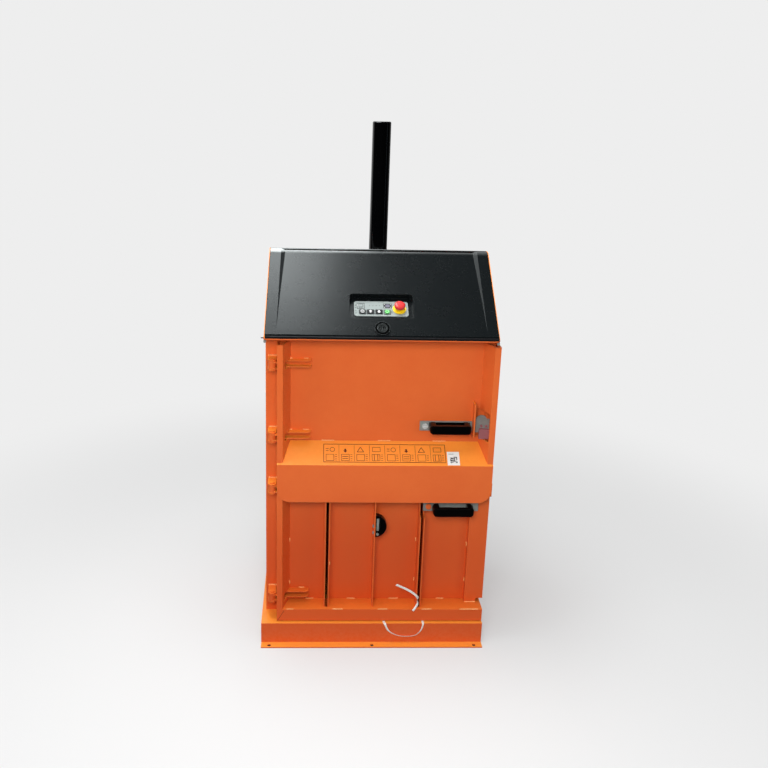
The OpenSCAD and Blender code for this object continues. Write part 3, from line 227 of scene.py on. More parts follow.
def makeBlotchGroup():
    # slow and quick variation on the piece's own coordinates
    group, gIn, gOut = newGroup("blotches", [("Scale", "NodeSocketFloat", 5.0),
                                             ("Detail", "NodeSocketFloat", 4.0)],
                                [("Mask", "NodeSocketFloat")])
    nodes, links = group.nodes, group.links
    coords = nodes.new("ShaderNodeTexCoord")
    noise = nodes.new("ShaderNodeTexNoise")
    noise.inputs["Roughness"].default_value = 0.62
    ramp = nodes.new("ShaderNodeMapRange")
    ramp.inputs["From Min"].default_value = 0.35
    ramp.inputs["From Max"].default_value = 0.68
    links.new(coords.outputs["Object"], noise.inputs["Vector"])
    links.new(gIn.outputs["Scale"], noise.inputs["Scale"])
    links.new(gIn.outputs["Detail"], noise.inputs["Detail"])
    links.new(noise.outputs["Fac"], ramp.inputs["Value"])
    links.new(ramp.outputs["Result"], gOut.inputs["Mask"])
    return group


peelGroup = makePeelGroup()
edgeGroup = makeEdgeHighlightGroup()
blotchGroup = makeBlotchGroup()


def mixColour(tree, mask, first, second):
    mix = tree.nodes.new("ShaderNodeMix")
    mix.data_type = "RGBA"
    for socket, value in ((mix.inputs[6], first), (mix.inputs[7], second)):
        if hasattr(value, "links"):
            tree.links.new(value, socket)
        else:
            socket.default_value = (*value, 1)
    tree.links.new(mask, mix.inputs[0])
    return mix.outputs[2]


def scaled(tree, value, factor):
    times = tree.nodes.new("ShaderNodeMath")
    times.operation = "MULTIPLY"
    times.inputs[1].default_value = factor
    tree.links.new(value, times.inputs[0])
    return times.outputs[0]


def roughSpread(tree, mask, low, high):
    spread = tree.nodes.new("ShaderNodeMapRange")
    spread.inputs["To Min"].default_value = low
    spread.inputs["To Max"].default_value = high
    tree.links.new(mask, spread.inputs["Value"])
    return spread.outputs["Result"]


def rampNode(tree, value, fromLow, fromHigh, toLow, toHigh):
    ramp = tree.nodes.new("ShaderNodeMapRange")
    ramp.interpolation_type = "SMOOTHSTEP"
    for label, number in (("From Min", fromLow), ("From Max", fromHigh), ("To Min", toLow), ("To Max", toHigh)):
        ramp.inputs[label].default_value = number
    tree.links.new(value, ramp.inputs["Value"])
    return ramp.outputs["Result"]


def timesNode(tree, first, second):
    times = tree.nodes.new("ShaderNodeMath")
    times.operation = "MULTIPLY"
    tree.links.new(first, times.inputs[0])
    tree.links.new(second, times.inputs[1])
    return times.outputs[0]


def coordParts(tree, output):
    coords = tree.nodes.new("ShaderNodeTexCoord")
    split = tree.nodes.new("ShaderNodeSeparateXYZ")
    tree.links.new(coords.outputs[output], split.inputs[0])
    return split.outputs


def coatedMaterial(name, main, deep, edge, rough, peel=(420.0, 0.12), edgeAmount=0.5, metallic=0.0,
                   coat=0.0, blotch=5.0, rounding=0.0010, sideRough=None, specular=0.5, crestHighlight=None):
    material, tree, shader = newMaterial(name)
    spots = groupNode(tree, blotchGroup, Scale=blotch)
    fine = groupNode(tree, blotchGroup, Scale=blotch * 14, Detail=6.0)
    edges = groupNode(tree, edgeGroup, Radius=0.0022)
    normal = groupNode(tree, peelGroup, Scale=peel[0], Strength=peel[1], Rounding=rounding)
    colour = mixColour(tree, scaled(tree, spots.outputs["Mask"], 0.6), main, deep)
    colour = mixColour(tree, scaled(tree, fine.outputs["Mask"], 0.12), colour, deep)
    # painted highlight along rounded edges
    colour = mixColour(tree, scaled(tree, edges.outputs["Mask"], edgeAmount), colour, edge)
    if crestHighlight:
        # painted highlight along the top edge, thinning out to the right
        height = rampNode(tree, coordParts(tree, "Object")["Z"], crestHighlight["low"], crestHighlight["high"], 0.0, 1.0)
        fade = rampNode(tree, coordParts(tree, "Object")["X"], crestHighlight["left"], crestHighlight["right"], 1.0, 0.08)
        colour = mixColour(tree, timesNode(tree, height, fade), colour, crestHighlight["colour"])
    tree.links.new(colour, shader.inputs["Base Color"])
    roughness = roughSpread(tree, fine.outputs["Mask"], *rough)
    if sideRough:
        # coarser grain on faces that lean sideways
        lean = tree.nodes.new("ShaderNodeMath")
        lean.operation = "ABSOLUTE"
        tree.links.new(coordParts(tree, "Normal")["X"], lean.inputs[0])
        spread = tree.nodes.new("ShaderNodeMix")
        tree.links.new(rampNode(tree, lean.outputs[0], 0.15, 0.3, 0.0, 1.0), spread.inputs[0])
        tree.links.new(roughness, spread.inputs[2])
        spread.inputs[3].default_value = sideRough
        roughness = spread.outputs[0]
    tree.links.new(roughness, shader.inputs["Roughness"])
    tree.links.new(normal.outputs["Normal"], shader.inputs["Normal"])
    shader.inputs["Metallic"].default_value = metallic
    shader.inputs["Specular IOR Level"].default_value = specular
    shader.inputs["Coat Weight"].default_value = coat
    shader.inputs["Coat Roughness"].default_value = 0.06
    return material


powderCoat = {"main": (0.80, 0.158, 0.034), "deep": (0.72, 0.118, 0.024), "low": (0.72, 0.104, 0.020),
              "top": (0.97, 0.31, 0.036), "under": (0.34, 0.022, 0.004), "edge": (1.0, 0.42, 0.10),
              "dust": (0.80, 0.34, 0.16), "lowFrom": 0.66, "lowTo": 0.30, "rough": (0.32, 0.46),
              "edgeAmount": 0.45, "edgeRadius": 0.0013, "rounding": 0.0007, "shadeFrom": 1.096,
              "shadeTo": 1.110, "shadeEnd": 1.1235}


def powderCoatMaterial(name):
    # orange sheet paint: painted shade low down on upright faces, painted light on faces that look up, painted shade
    # on faces that look down and just under the rim, painted highlights on rounded edges, dusty near the floor
    material, tree, shader = newMaterial(name)
    spots = groupNode(tree, blotchGroup, Scale=4.0)
    clouds = groupNode(tree, blotchGroup, Scale=17.0, Detail=5.0)
    fine = groupNode(tree, blotchGroup, Scale=90.0, Detail=6.0)
    edges = groupNode(tree, edgeGroup, Radius=powderCoat["edgeRadius"])
    normal = groupNode(tree, peelGroup, Scale=420.0, Strength=0.10, Rounding=powderCoat["rounding"])
    height = coordParts(tree, "Object")["Z"]
    facing = coordParts(tree, "Normal")["Z"]
    # painted shade: darker towards the bottom, in full below lowTo and gone above lowFrom
    low = rampNode(tree, height, powderCoat["lowTo"], powderCoat["lowFrom"], 1.0, 0.0)
    # painted light: faces that look up are paled, in full on the base flange and above 0.6 m, about a third in between
    top = timesNode(tree, rampNode(tree, facing, 0.25, 0.95, 0.0, 1.0),
                    timesNode(tree, rampNode(tree, height, 0.085, 0.11, 1.0, 0.35),
                              rampNode(tree, height, 0.5, 0.6, 1.0, 2.857)))
    # painted shade on faces that look down
    under = rampNode(tree, facing, -0.1, -0.8, 0.0, 0.8)
    shade = timesNode(tree, rampNode(tree, height, powderCoat["shadeFrom"], powderCoat["shadeTo"], 0.0, 0.85),
                      rampNode(tree, height, powderCoat["shadeEnd"], powderCoat["shadeEnd"] + 0.001, 1.0, 0.0))
    nearFloor = rampNode(tree, height, 0.02, 0.12, 0.12, 0.0)
    colour = mixColour(tree, scaled(tree, spots.outputs["Mask"], 0.45), powderCoat["main"], powderCoat["deep"])
    colour = mixColour(tree, scaled(tree, clouds.outputs["Mask"], 0.18), colour, powderCoat["deep"])
    colour = mixColour(tree, low, colour, powderCoat["low"])
    colour = mixColour(tree, top, colour, powderCoat["top"])
    colour = mixColour(tree, under, colour, powderCoat["under"])
    colour = mixColour(tree, timesNode(tree, nearFloor, fine.outputs["Mask"]), colour, powderCoat["dust"])
    colour = mixColour(tree, scaled(tree, fine.outputs["Mask"], 0.10), colour, powderCoat["deep"])
    # painted highlight along rounded edges
    colour = mixColour(tree, scaled(tree, edges.outputs["Mask"], powderCoat["edgeAmount"]), colour,
                       powderCoat["edge"])
    colour = mixColour(tree, shade, colour, powderCoat["under"])
    tree.links.new(colour, shader.inputs["Base Color"])
    tree.links.new(roughSpread(tree, fine.outputs["Mask"], *powderCoat["rough"]), shader.inputs["Roughness"])
    tree.links.new(normal.outputs["Normal"], shader.inputs["Normal"])
    shader.inputs["Specular IOR Level"].default_value = 0.42
    return material


def metalMaterial(name, main, deep, rough, grain=(900.0, 40.0)):
    # zinc-plated sheet: drawn grain along the sheet, soft cloudy plating
    material, tree, shader = newMaterial(name)
    coords = tree.nodes.new("ShaderNodeTexCoord")
    mapping = tree.nodes.new("ShaderNodeMapping")
    mapping.inputs["Scale"].default_value = (grain[1], grain[0], grain[0])
    noise = tree.nodes.new("ShaderNodeTexNoise")
    noise.inputs["Scale"].default_value = 1.0
    noise.inputs["Detail"].default_value = 3.0
    tree.links.new(coords.outputs["Object"], mapping.inputs["Vector"])
    tree.links.new(mapping.outputs["Vector"], noise.inputs["Vector"])
    clouds = groupNode(tree, blotchGroup, Scale=60.0)
    colour = mixColour(tree, scaled(tree, clouds.outputs["Mask"], 0.7), main, deep)
    tree.links.new(colour, shader.inputs["Base Color"])
    tree.links.new(roughSpread(tree, noise.outputs["Fac"], *rough), shader.inputs["Roughness"])
    bump = tree.nodes.new("ShaderNodeBump")
    bump.inputs["Strength"].default_value = 0.1
    bump.inputs["Distance"].default_value = 0.0003
    bevel = tree.nodes.new("ShaderNodeBevel")
    bevel.samples = 4
    bevel.inputs["Radius"].default_value = 0.0008
    tree.links.new(noise.outputs["Fac"], bump.inputs["Height"])
    tree.links.new(bevel.outputs["Normal"], bump.inputs["Normal"])
    tree.links.new(bump.outputs["Normal"], shader.inputs["Normal"])
    shader.inputs["Metallic"].default_value = 0.3
    return material


def strapMaterial():
    material, tree, shader = newMaterial("wovenStrap")
    along = tree.nodes.new("ShaderNodeAttribute")
    along.attribute_name = "along"
    wave = tree.nodes.new("ShaderNodeMath")
    wave.operation = "MULTIPLY"
    wave.inputs[1].default_value = 4200.0
    weave = tree.nodes.new("ShaderNodeMath")
    weave.operation = "SINE"
    tree.links.new(along.outputs["Fac"], wave.inputs[0])
    tree.links.new(wave.outputs[0], weave.inputs[0])
    bump = tree.nodes.new("ShaderNodeBump")
    bump.inputs["Strength"].default_value = 0.35
    bump.inputs["Distance"].default_value = 0.0003
    tree.links.new(weave.outputs[0], bump.inputs["Height"])
    tree.links.new(bump.outputs["Normal"], shader.inputs["Normal"])
    spots = groupNode(tree, blotchGroup, Scale=90.0)
    colour = mixColour(tree, scaled(tree, spots.outputs["Mask"], 0.5), (0.88, 0.87, 0.84), (0.72, 0.69, 0.64))
    tree.links.new(colour, shader.inputs["Base Color"])
    shader.inputs["Roughness"].default_value = 0.7
    return material


finishes = {
    "orange_powder_coat": powderCoatMaterial("orangePowderCoat"),
    "black_hood": coatedMaterial("satinBlackHood", (0.0058, 0.0075, 0.0082), (0.004, 0.0052, 0.0058),
                                 (0.024, 0.03, 0.032), (0.262, 0.28), peel=(1500.0, 0.02), sideRough=0.55,
                                 blotch=1.6, crestHighlight={"low": 1.3665, "high": 1.377, "left": -0.30, "right": 0.20,
                                                    "colour": (0.52, 0.55, 0.55)}),
    "black_gloss": coatedMaterial("glossBlackMast", (0.0008, 0.0008, 0.001), (0.0006, 0.0006, 0.0008),
                                  (0.002, 0.002, 0.003), (0.10, 0.14), peel=(20.0, 0.0), specular=0.25),
    "bare_steel": metalMaterial("zincPlate", (0.36, 0.385, 0.36), (0.27, 0.285, 0.262), (0.30, 0.46)),
    "bright_zinc": metalMaterial("brightZinc", (0.80, 0.82, 0.80), (0.62, 0.64, 0.62), (0.22, 0.34)),
    "grey_panel": coatedMaterial("keyFoil", (0.25, 0.285, 0.275), (0.215, 0.25, 0.24), (0.7, 0.72, 0.71),
                                 (0.4, 0.5), peel=(1200.0, 0.08)),
    "grey_paint": coatedMaterial("greyEnamel", (0.42, 0.44, 0.43), (0.36, 0.38, 0.37), (0.6, 0.62, 0.6),
                                 (0.35, 0.5)),
    "dark_motor": coatedMaterial("motorEnamel", (0.05, 0.062, 0.07), (0.035, 0.045, 0.052),
                                 (0.16, 0.17, 0.17), (0.4, 0.55)),
    "black_rubber": coatedMaterial("hoseRubber", (0.012, 0.012, 0.012), (0.02, 0.02, 0.019),
                                   (0.03, 0.03, 0.03), (0.6, 0.8), peel=(700.0, 0.4)),
    "white_strap": strapMaterial(),
    "black_grip": coatedMaterial("blackGrip", (0.0012, 0.0012, 0.0013), (0.001, 0.001, 0.001),
                                 (0.03, 0.03, 0.03), (0.30, 0.38), peel=(1100.0, 0.03), rounding=0.004,
                                 specular=0.22),
    # strong pale edges: painted highlight round the lock
    "lock_black": coatedMaterial("lockBlack", (0.001, 0.001, 0.0012), (0.001, 0.001, 0.001),
                                 (0.16, 0.18, 0.18), (0.12, 0.18), peel=(1100.0, 0.02), rounding=0.0012,
                                 edgeAmount=0.9, specular=0.3),
    "pink_switch": coatedMaterial("fadedSwitch", (0.36, 0.13, 0.14), (0.27, 0.09, 0.10), (0.6, 0.38, 0.38),
                                  (0.42, 0.6), peel=(800.0, 0.2)),
    "green_key": coatedMaterial("greenKey", (0.06, 0.52, 0.07), (0.04, 0.40, 0.05), (0.2, 0.65, 0.2),
                                (0.25, 0.35), peel=(900.0, 0.05)),
    "black_key": coatedMaterial("blackKey", (0.01, 0.01, 0.011), (0.007, 0.007, 0.008), (0.04, 0.04, 0.04),
                                (0.3, 0.4), peel=(900.0, 0.05)),
    "yellow_collar": coatedMaterial("yellowCollar", (0.88, 0.60, 0.01), (0.80, 0.5, 0.008), (0.95, 0.75, 0.1),
                                    (0.35, 0.5), peel=(900.0, 0.08)),
    "red_button": coatedMaterial("redMushroom", (0.60, 0.035, 0.035), (0.5, 0.025, 0.025), (0.8, 0.2, 0.18),
                                 (0.22, 0.32), peel=(700.0, 0.04)),
    # the beads are real; their lighter colour is a painted highlight
    "weldHighlight": coatedMaterial("weldHighlightCoat", (1.0, 0.42, 0.15), (0.9, 0.30, 0.08), (1.0, 0.6, 0.3), (0.22, 0.3)),
    "seam": coatedMaterial("seamShadow", (0.16, 0.018, 0.006), (0.1, 0.012, 0.005), (0.2, 0.03, 0.01), (0.6, 0.7)),
    "print": coatedMaterial("darkPrint", (0.012, 0.012, 0.014), (0.01, 0.01, 0.011), (0.02, 0.02, 0.02),
                            (0.45, 0.55)),
    "lens": coatedMaterial("displayLens", (0.16, 0.15, 0.2), (0.1, 0.1, 0.14), (0.3, 0.3, 0.36), (0.3, 0.4)),
    "lightPrint": coatedMaterial("lightPrint", (0.75, 0.76, 0.75), (0.66, 0.67, 0.66), (0.8, 0.8, 0.8),
                                 (0.4, 0.5)),
    "shelfPrint": coatedMaterial("shelfPrint", (0.10, 0.014, 0.006), (0.17, 0.03, 0.011), (0.2, 0.05, 0.02),
                                 (0.45, 0.6)),
    "sticker": coatedMaterial("paperSticker", (0.82, 0.82, 0.80), (0.74, 0.73, 0.7), (0.85, 0.85, 0.85),
                              (0.5, 0.6)),
}
print("materials made:", len(finishes))

strapBody("loopStrap", loopPoints, lambda f: Vector((math.cos(math.pi * f), -0.7 * math.sin(math.pi * f),
                                                     0.7 * math.sin(math.pi * f))),
          "frame", "strap_loop", finishes["white_strap"])
strapBody("longTail", longPoints, lambda f: Vector((1, 0, 1.2)), "lower_door",
          "strap_tail_long", finishes["white_strap"])
strapBody("shortTail", shortPoints, lambda f: Vector((1, 0, -1.2)), "lower_door",
          "strap_tail_short", finishes["white_strap"])

slotOfNode = {part["node"]: part["material_slot"] for part in frame["record"]["subparts"]}
glossier = {"lock_ring": "lock_black", "lock_knob": "lock_black", "upper_latch_pivot": "bright_zinc",
            "top_cap": "black_hood"}
for nodeName, nodeObject in frame["nodes"].items():
    finish = finishes[glossier.get(nodeName, slotOfNode[nodeName])]
    if not nodeObject.material_slots:
        nodeObject.data.materials.append(finish)
    for slot in nodeObject.material_slots:
        slot.material = finish
print("finishes put on the nodes")

# small fittings and marks that ride on the solids
def fitting(name, rings, sides, place, axis, body, material):
    # turned or hexagonal piece: rings are (distance along the axis, radius) in metres
    bm = bmesh.new()
    turn = Vector(axis).normalized().to_track_quat("Z", "Y").to_matrix().to_4x4()
    bmesh.ops.create_circle(bm, segments=sides, radius=rings[0][1], cap_ends=True)
    edges = [e for e in bm.edges if len(e.link_faces) == 1]
    for v in bm.verts:
        v.co.z = rings[0][0]
    for depth, radius in rings[1:]:
        grown = bmesh.ops.extrude_edge_only(bm, edges=edges)["geom"]
        verts = [g for g in grown if isinstance(g, bmesh.types.BMVert)]
        edges = [g for g in grown if isinstance(g, bmesh.types.BMEdge)
                 and all(v in verts for v in g.verts)]
        for v in verts:
            flat = Vector((v.co.x, v.co.y, 0)).normalized() * radius
            v.co = Vector((flat.x, flat.y, depth))
    bmesh.ops.holes_fill(bm, edges=edges, sides=0)
    bmesh.ops.transform(bm, matrix=Matrix.Translation(Vector(place)) @ turn, verts=bm.verts[:])
    return addPiece(name, meshFrom(bm, name, smooth=False), body, material)


def weldSeams(name, seams, body, beads):
    # rows of overlapping beads, each a small ball in metres
    bm = bmesh.new()
    for start, end in seams:
        a, b = Vector(start) / 1000, Vector(end) / 1000
        count = max(2, int((b - a).length / beads["pitch"]))
        for k in range(count + 1):
            size = beads["radius"] * random.uniform(0.75, 1.1)
            middle = a.lerp(b, k / count) + Vector([random.uniform(-1, 1) * beads["wander"] for _ in range(3)])
            bmesh.ops.create_uvsphere(bm, u_segments=8, v_segments=6, radius=size,
                                      matrix=Matrix.Translation(middle))
    return addPiece(name, meshFrom(bm, name), body, finishes["weldHighlight"])


def flatMarks(name, marks, place, body, material, depth=0.00025):
    # thin printed shapes: each mark is a polygon in mm on the surface that place() describes
    bm = bmesh.new()
    for points in marks:
        low = [bm.verts.new(place(x, y, 0.05)) for x, y in points]
        face = bm.faces.new(low)
        grown = bmesh.ops.extrude_face_region(bm, geom=[face])["geom"]
        lift = place(0, 0, 1) - place(0, 0, 0)
        for v in grown:
            if isinstance(v, bmesh.types.BMVert):
                v.co += lift.normalized() * depth
    return addPiece(name, meshFrom(bm, name, smooth=False), body, material)


def barMark(x0, y0, x1, y1):
    return [(x0, y0), (x1, y0), (x1, y1), (x0, y1)]


def frameMarks(x0, y0, x1, y1, t):
    return [barMark(x0, y0, x1, y0 + t), barMark(x0, y1 - t, x1, y1),
            barMark(x0, y0 + t, x0 + t, y1 - t), barMark(x1 - t, y0 + t, x1, y1 - t)]


def discMark(x, y, r, sides=20):
    return [(x + r * math.cos(2 * math.pi * k / sides), y + r * math.sin(2 * math.pi * k / sides))
            for k in range(sides)]


def ringMarks(x, y, r, t, sides=16):
    marks = []
    for k in range(sides):
        a, b = 2 * math.pi * k / sides, 2 * math.pi * (k + 1) / sides
        marks.append([(x + r * math.cos(a), y + r * math.sin(a)), (x + r * math.cos(b), y + r * math.sin(b)),
                      (x + (r - t) * math.cos(b), y + (r - t) * math.sin(b)),
                      (x + (r - t) * math.cos(a), y + (r - t) * math.sin(a))])
    return marks


def arrowMarks(x, y, size, up):
    s = 1 if up else -1
    return [[(x - size, y), (x + size, y), (x, y + s * size * 1.1)][:: s],
            barMark(x - size * 0.42, min(y, y - s * size), x + size * 0.42, max(y, y - s * size))]


# welds where they show in the photo, in mm
weldBeads = {"radius": 0.0026, "pitch": 0.0020, "wander": 0.0004}
weldSeams("welds_lower_door", [
    ((-237, -231, 131), (-212, -231, 131)), ((-88, -231, 131), (-62, -231, 131)),
    ((65, -231, 131), (95, -231, 131)), ((238, -231, 131), (263, -231, 131)),
    ((-304, -301, 130), (-283, -301, 130)), ((-140, -301, 130), (-108, -301, 130)),
    ((20, -301, 130), (52, -301, 130)), ((178, -301, 130), (210, -301, 130)),
    ((314, -301, 130), (378, -301, 130)), ((340, -253, 131), (376, -253, 131)),
    ((-297, -232, 361), (-297, -232, 371)), ((-297, -232, 194), (-297, -232, 204)),
    ((3, -232, 346), (3, -232, 356)), ((152, -232, 366), (152, -232, 376)),
    ((152, -232, 206), (152, -232, 216)), ((335, -232, 346), (335, -232, 358)),
    ((335, -232, 206), (335, -232, 216)), ((-262, -231, 176), (-246, -231, 176)),
    ((-174, -286, 640), (-174, -286, 652)), ((-155, -286, 300), (-155, -286, 308))], "lower_door", weldBeads)
weldSeams("welds_upper_door", [
    ((-302, -231, 1039), (-292, -231, 1039)), ((-250, -231, 1039), (-240, -231, 1039)),
    ((-301, -231, 785), (-291, -231, 785)), ((-252, -231, 785), (-236, -231, 785)),
    ((-188, -231, 746), (-147, -231, 746)), ((5, -231, 746), (46, -231, 746)),
    ((195, -231, 746), (237, -231, 746)), ((327, -233, 778), (327, -240, 778)),
    ((327, -233, 890), (327, -246, 890))], "upper_door", weldBeads)
weldSeams("welds_hinges", [
    ((-370, -223, z), (-345, -223, z)) for z in (182, 142, 603, 563, 792, 752, 1046, 1006)], "frame", weldBeads)
print("welds laid")

# bolts under the rim's corners and the hood's prop pin
for side in (-1, 1):
    fitting("rim_bolt_" + ("left" if side < 0 else "right"), [(0, 0.0045), (0.007, 0.0045), (0.0085, 0.0035)],
            24, (side * 0.3785, -0.3175, 1.1239), (0, 0, -1), "frame", finishes["bare_steel"])
fitting("prop_pin", [(0, 0.0018), (0.007, 0.0018), (0.0078, 0.001)], 16, (-0.3835, -0.3175, 1.131),
        (-1, 0, 0), "frame", finishes["black_key"])



def blockPiece(name, low, high, rounding, body, material):
    bm = bmesh.new()
    size = Vector(high) - Vector(low)
    bmesh.ops.create_cube(bm, size=1.0)
    bmesh.ops.transform(bm, matrix=Matrix.Translation((Vector(low) + Vector(high)) / 2)
                        @ Matrix.Diagonal((*size, 1)), verts=bm.verts[:])
    bmesh.ops.bevel(bm, geom=bm.edges[:], offset=rounding, segments=3, affect="EDGES", profile=0.5, material=-1)
    return addPiece(name, meshFrom(bm, name), body, material)


# the upper grip's moulded foot, and a lug beside the upper keeper
blockPiece("upper_grip_foot", (0.1765, -0.2436, 0.7925), (0.3165, -0.242, 0.8195), 0.0005, "upper_latch",
           finishes["black_grip"])
blockPiece("keeper_lug", (0.372, -0.2285, 0.828), (0.3875, -0.2225, 0.858), 0.0012, "frame",
           finishes["orange_powder_coat"])

# black strip along the hood's lower edge above the rim: painted shade for the dark gap between hood and rim
blockPiece("hood_gap_shade_strip", (-0.378, -0.3308, 1.1318), (0.378, -0.3292, 1.1396), 0.0005, "hood",
           finishes["black_key"])
blockPiece("hood_gap_shade_web", (-0.378, -0.3294, 1.1380), (0.378, -0.3190, 1.1396), 0.0004, "hood",
           finishes["black_key"])

slopeAngle = math.radians(43.42850790545615)
panelFrame = (Matrix.Translation((0, -0.329, 1.136)) @ Matrix.Rotation(slopeAngle, 4, "X")
              @ Matrix.Translation((0, 0.092, -0.008)) @ Matrix.Rotation(math.radians(-10.5), 4, "X"))


def onPanel(lift):
    return lambda x, y, h: panelFrame @ Vector((x / 1000, y / 1000, (h + lift) / 1000))


def onShelf(x, y, h):
    # y runs up the shelf from its fold
    along, out = Vector((0, 78, 59)).normalized(), Vector((0, -59, 78)).normalized()
    return (Vector((x, -308, 686)) + along * y + out * h) / 1000


darkPrint = (frameMarks(-80, 32, -55, 58, 1.6) + frameMarks(-75, 41, -60, 54, 1.2) + [barMark(-74, 35, -61, 37)]
             + frameMarks(8, 6.2, 31, 27.8, 2.2) + [barMark(8, 36, 35, 56)]
             + frameMarks(-74, 6.8, -51, 27.2, 1.2) + frameMarks(-49, 7, -23, 27, 1.0)
             + frameMarks(-21, 7, 5, 27, 1.0) + [barMark(33.5, 11, 35.5, 24), barMark(-85, 34, -83, 39)]
             + [barMark(-85, 45, -83, 50), barMark(-85, 10, -83, 15), barMark(-85, 20, -83, 25)]
             + [discMark(-38 + 11 * k, 47, 1.3, 12) for k in range(4)])
flatMarks("panel_print", darkPrint, onPanel(0), "hood", finishes["print"])
flatMarks("panel_lens", [discMark(21.5, 46, 7.5, 28)], onPanel(0.3), "hood", finishes["lens"])
flatMarks("panel_light_marks", [barMark(-77.5, 42, -76, 52)] + [barMark(10.5, 38, 13, 41), barMark(10.5, 51, 13, 54),
                                                               barMark(30, 38, 32.5, 41), barMark(30, 51, 32.5, 54)],
          onPanel(0.35), "hood", finishes["lightPrint"])
flatMarks("up_arrow", arrowMarks(-36, 17.5, 6, True), onPanel(3.9), "up_button",
          finishes["lightPrint"])
flatMarks("down_arrow", arrowMarks(-8, 16.5, 6, False), onPanel(3.9), "down_button",
          finishes["lightPrint"])
flatMarks("mode_mark", ringMarks(-62.5, 17, 6.5, 2.2) + [barMark(-63.5, 15, -61.5, 19)], onPanel(3.9),
          "mode_button", finishes["lightPrint"])
flatMarks("start_mark", ringMarks(19, 17, 5.4, 1.0), onPanel(4.5), "start_button",
          finishes["lightPrint"])

# joint line of the lower door frame's mitred corner
flatMarks("mitre_line", [[(-339.6, 82.6), (-338.2, 82.6), (-313.7, 123.2), (-315.1, 123.2)]],
          lambda x, y, h: Vector((x, -302 - h, y)) / 1000, "lower_door", finishes["seam"], depth=0.0002)

# generic picture strip on the shelf
labelStrip = {"left": -183.0, "cells": 8, "pitch": 52.2, "low": 12.0, "high": 84.0, "line": 2.0}


def shelfPictures():
    marks = frameMarks(labelStrip["left"], labelStrip["low"], labelStrip["left"] + 8 * labelStrip["pitch"],
                       labelStrip["high"], labelStrip["line"])
    for k in range(labelStrip["cells"]):
        x = labelStrip["left"] + (k + 0.5) * labelStrip["pitch"]
        if k:
            marks.append(barMark(x - labelStrip["pitch"] / 2, 16, x - labelStrip["pitch"] / 2 + 1.1, 80))
        marks += frameMarks(x - 18, 18, x + 10, 44, 1.5)
        if k % 4 == 0:
            marks += ringMarks(x + 4, 62, 9, 1.7) + [barMark(x - 18, 56, x - 9, 58), barMark(x - 18, 64, x - 9, 66)]
        elif k % 4 == 1:
            marks += arrowMarks(x - 4, 58, 7, False) + [barMark(x - 14, 26, x + 6, 28), barMark(x - 14, 34, x + 6, 36)]
        elif k % 4 == 2:
            marks += [[(x - 16, 54), (x - 13.5, 54), (x - 3, 72), (x - 5.5, 72)],
                      [(x - 5.5, 72), (x - 3, 72), (x + 7.5, 54), (x + 5, 54)], barMark(x - 16, 52, x + 7.5, 54)]
        else:
            marks += [barMark(x - 11, 18, x - 9, 44), barMark(x + 1, 18, x + 3, 44)] + frameMarks(x - 16, 54, x + 12, 72, 1.5)
        marks += [barMark(x + 13, 20 + 7 * m, x + 20, 21.4 + 7 * m) for m in range(4)]
    return marks


flatMarks("shelf_pictures", shelfPictures(), onShelf, "upper_door", finishes["shelfPrint"])
flatMarks("shelf_sticker", [barMark(239, 3, 281, 56)], onShelf, "upper_door", finishes["sticker"])
stickerDots = [barMark(249 + 3 * a, 12 + 3 * b, 252 + 3 * a, 15 + 3 * b) for a in range(8) for b in range(8)
               if random.random() < 0.5]
flatMarks("sticker_dots", stickerDots + [barMark(244, 46, 262, 47.5)], lambda x, y, h: onShelf(x, y, h + 0.25),
          "upper_door", finishes["print"])
print("fittings and marks added")

studio = {"floorTone": 0.74, "bounceTone": 0.30, "mirrorTone": 0.02, "mirrorFar": 1.1, "underTone": 0.03,
          "behind": 0.855, "nearBlend": 0.45, "blendFrom": 0.9, "blendTo": 2.6, "diffuseLow": 0.10,
          "diffuseHigh": 0.26, "diffuseRight": 0.9, "glossFront": 0.015, "glossBack": 1.2, "glossRight": 0.2,
          "lamps": [("ceilingSoftbox", (-0.60, 0.15, 3.5), (-0.60, 0.15, 0.0), (0.86, 1.4), 31, (0.94, 1.0, 1.01), True),
                    ("ceilingFront", (-0.60, -0.98, 3.5), (-0.60, -0.98, 0.0), (0.86, 0.86), 5.5, (0.94, 1.0, 1.01),
                     True),
                    ("rightStrip", (3.0, -1.1, 1.1), (0.0, -0.1, 1.1), (0.14, 1.8), 0.8, (0.8, 0.95, 1.1), True),
                    ("topFill", (-0.2, -0.3, 3.4), (-0.1, -0.2, 0.0), (1.2, 1.2), 46, (1, 1, 1), False),
                    ("frontKey", (-0.40, -2.6, 1.95), (0.0, -0.2, 0.75), (1.0, 0.8), 43, (1, 1, 1), False),
                    ("rightFill", (2.4, -2.0, 1.5), (0.0, -0.2, 0.7), (1.2, 1.2), 12, (1, 1, 1), False),
                    ("leftKey", (-3.0, -1.4, 1.6), (0.0, -0.2, 0.7), (1.4, 1.4), 24, (1, 1, 1), False)]}


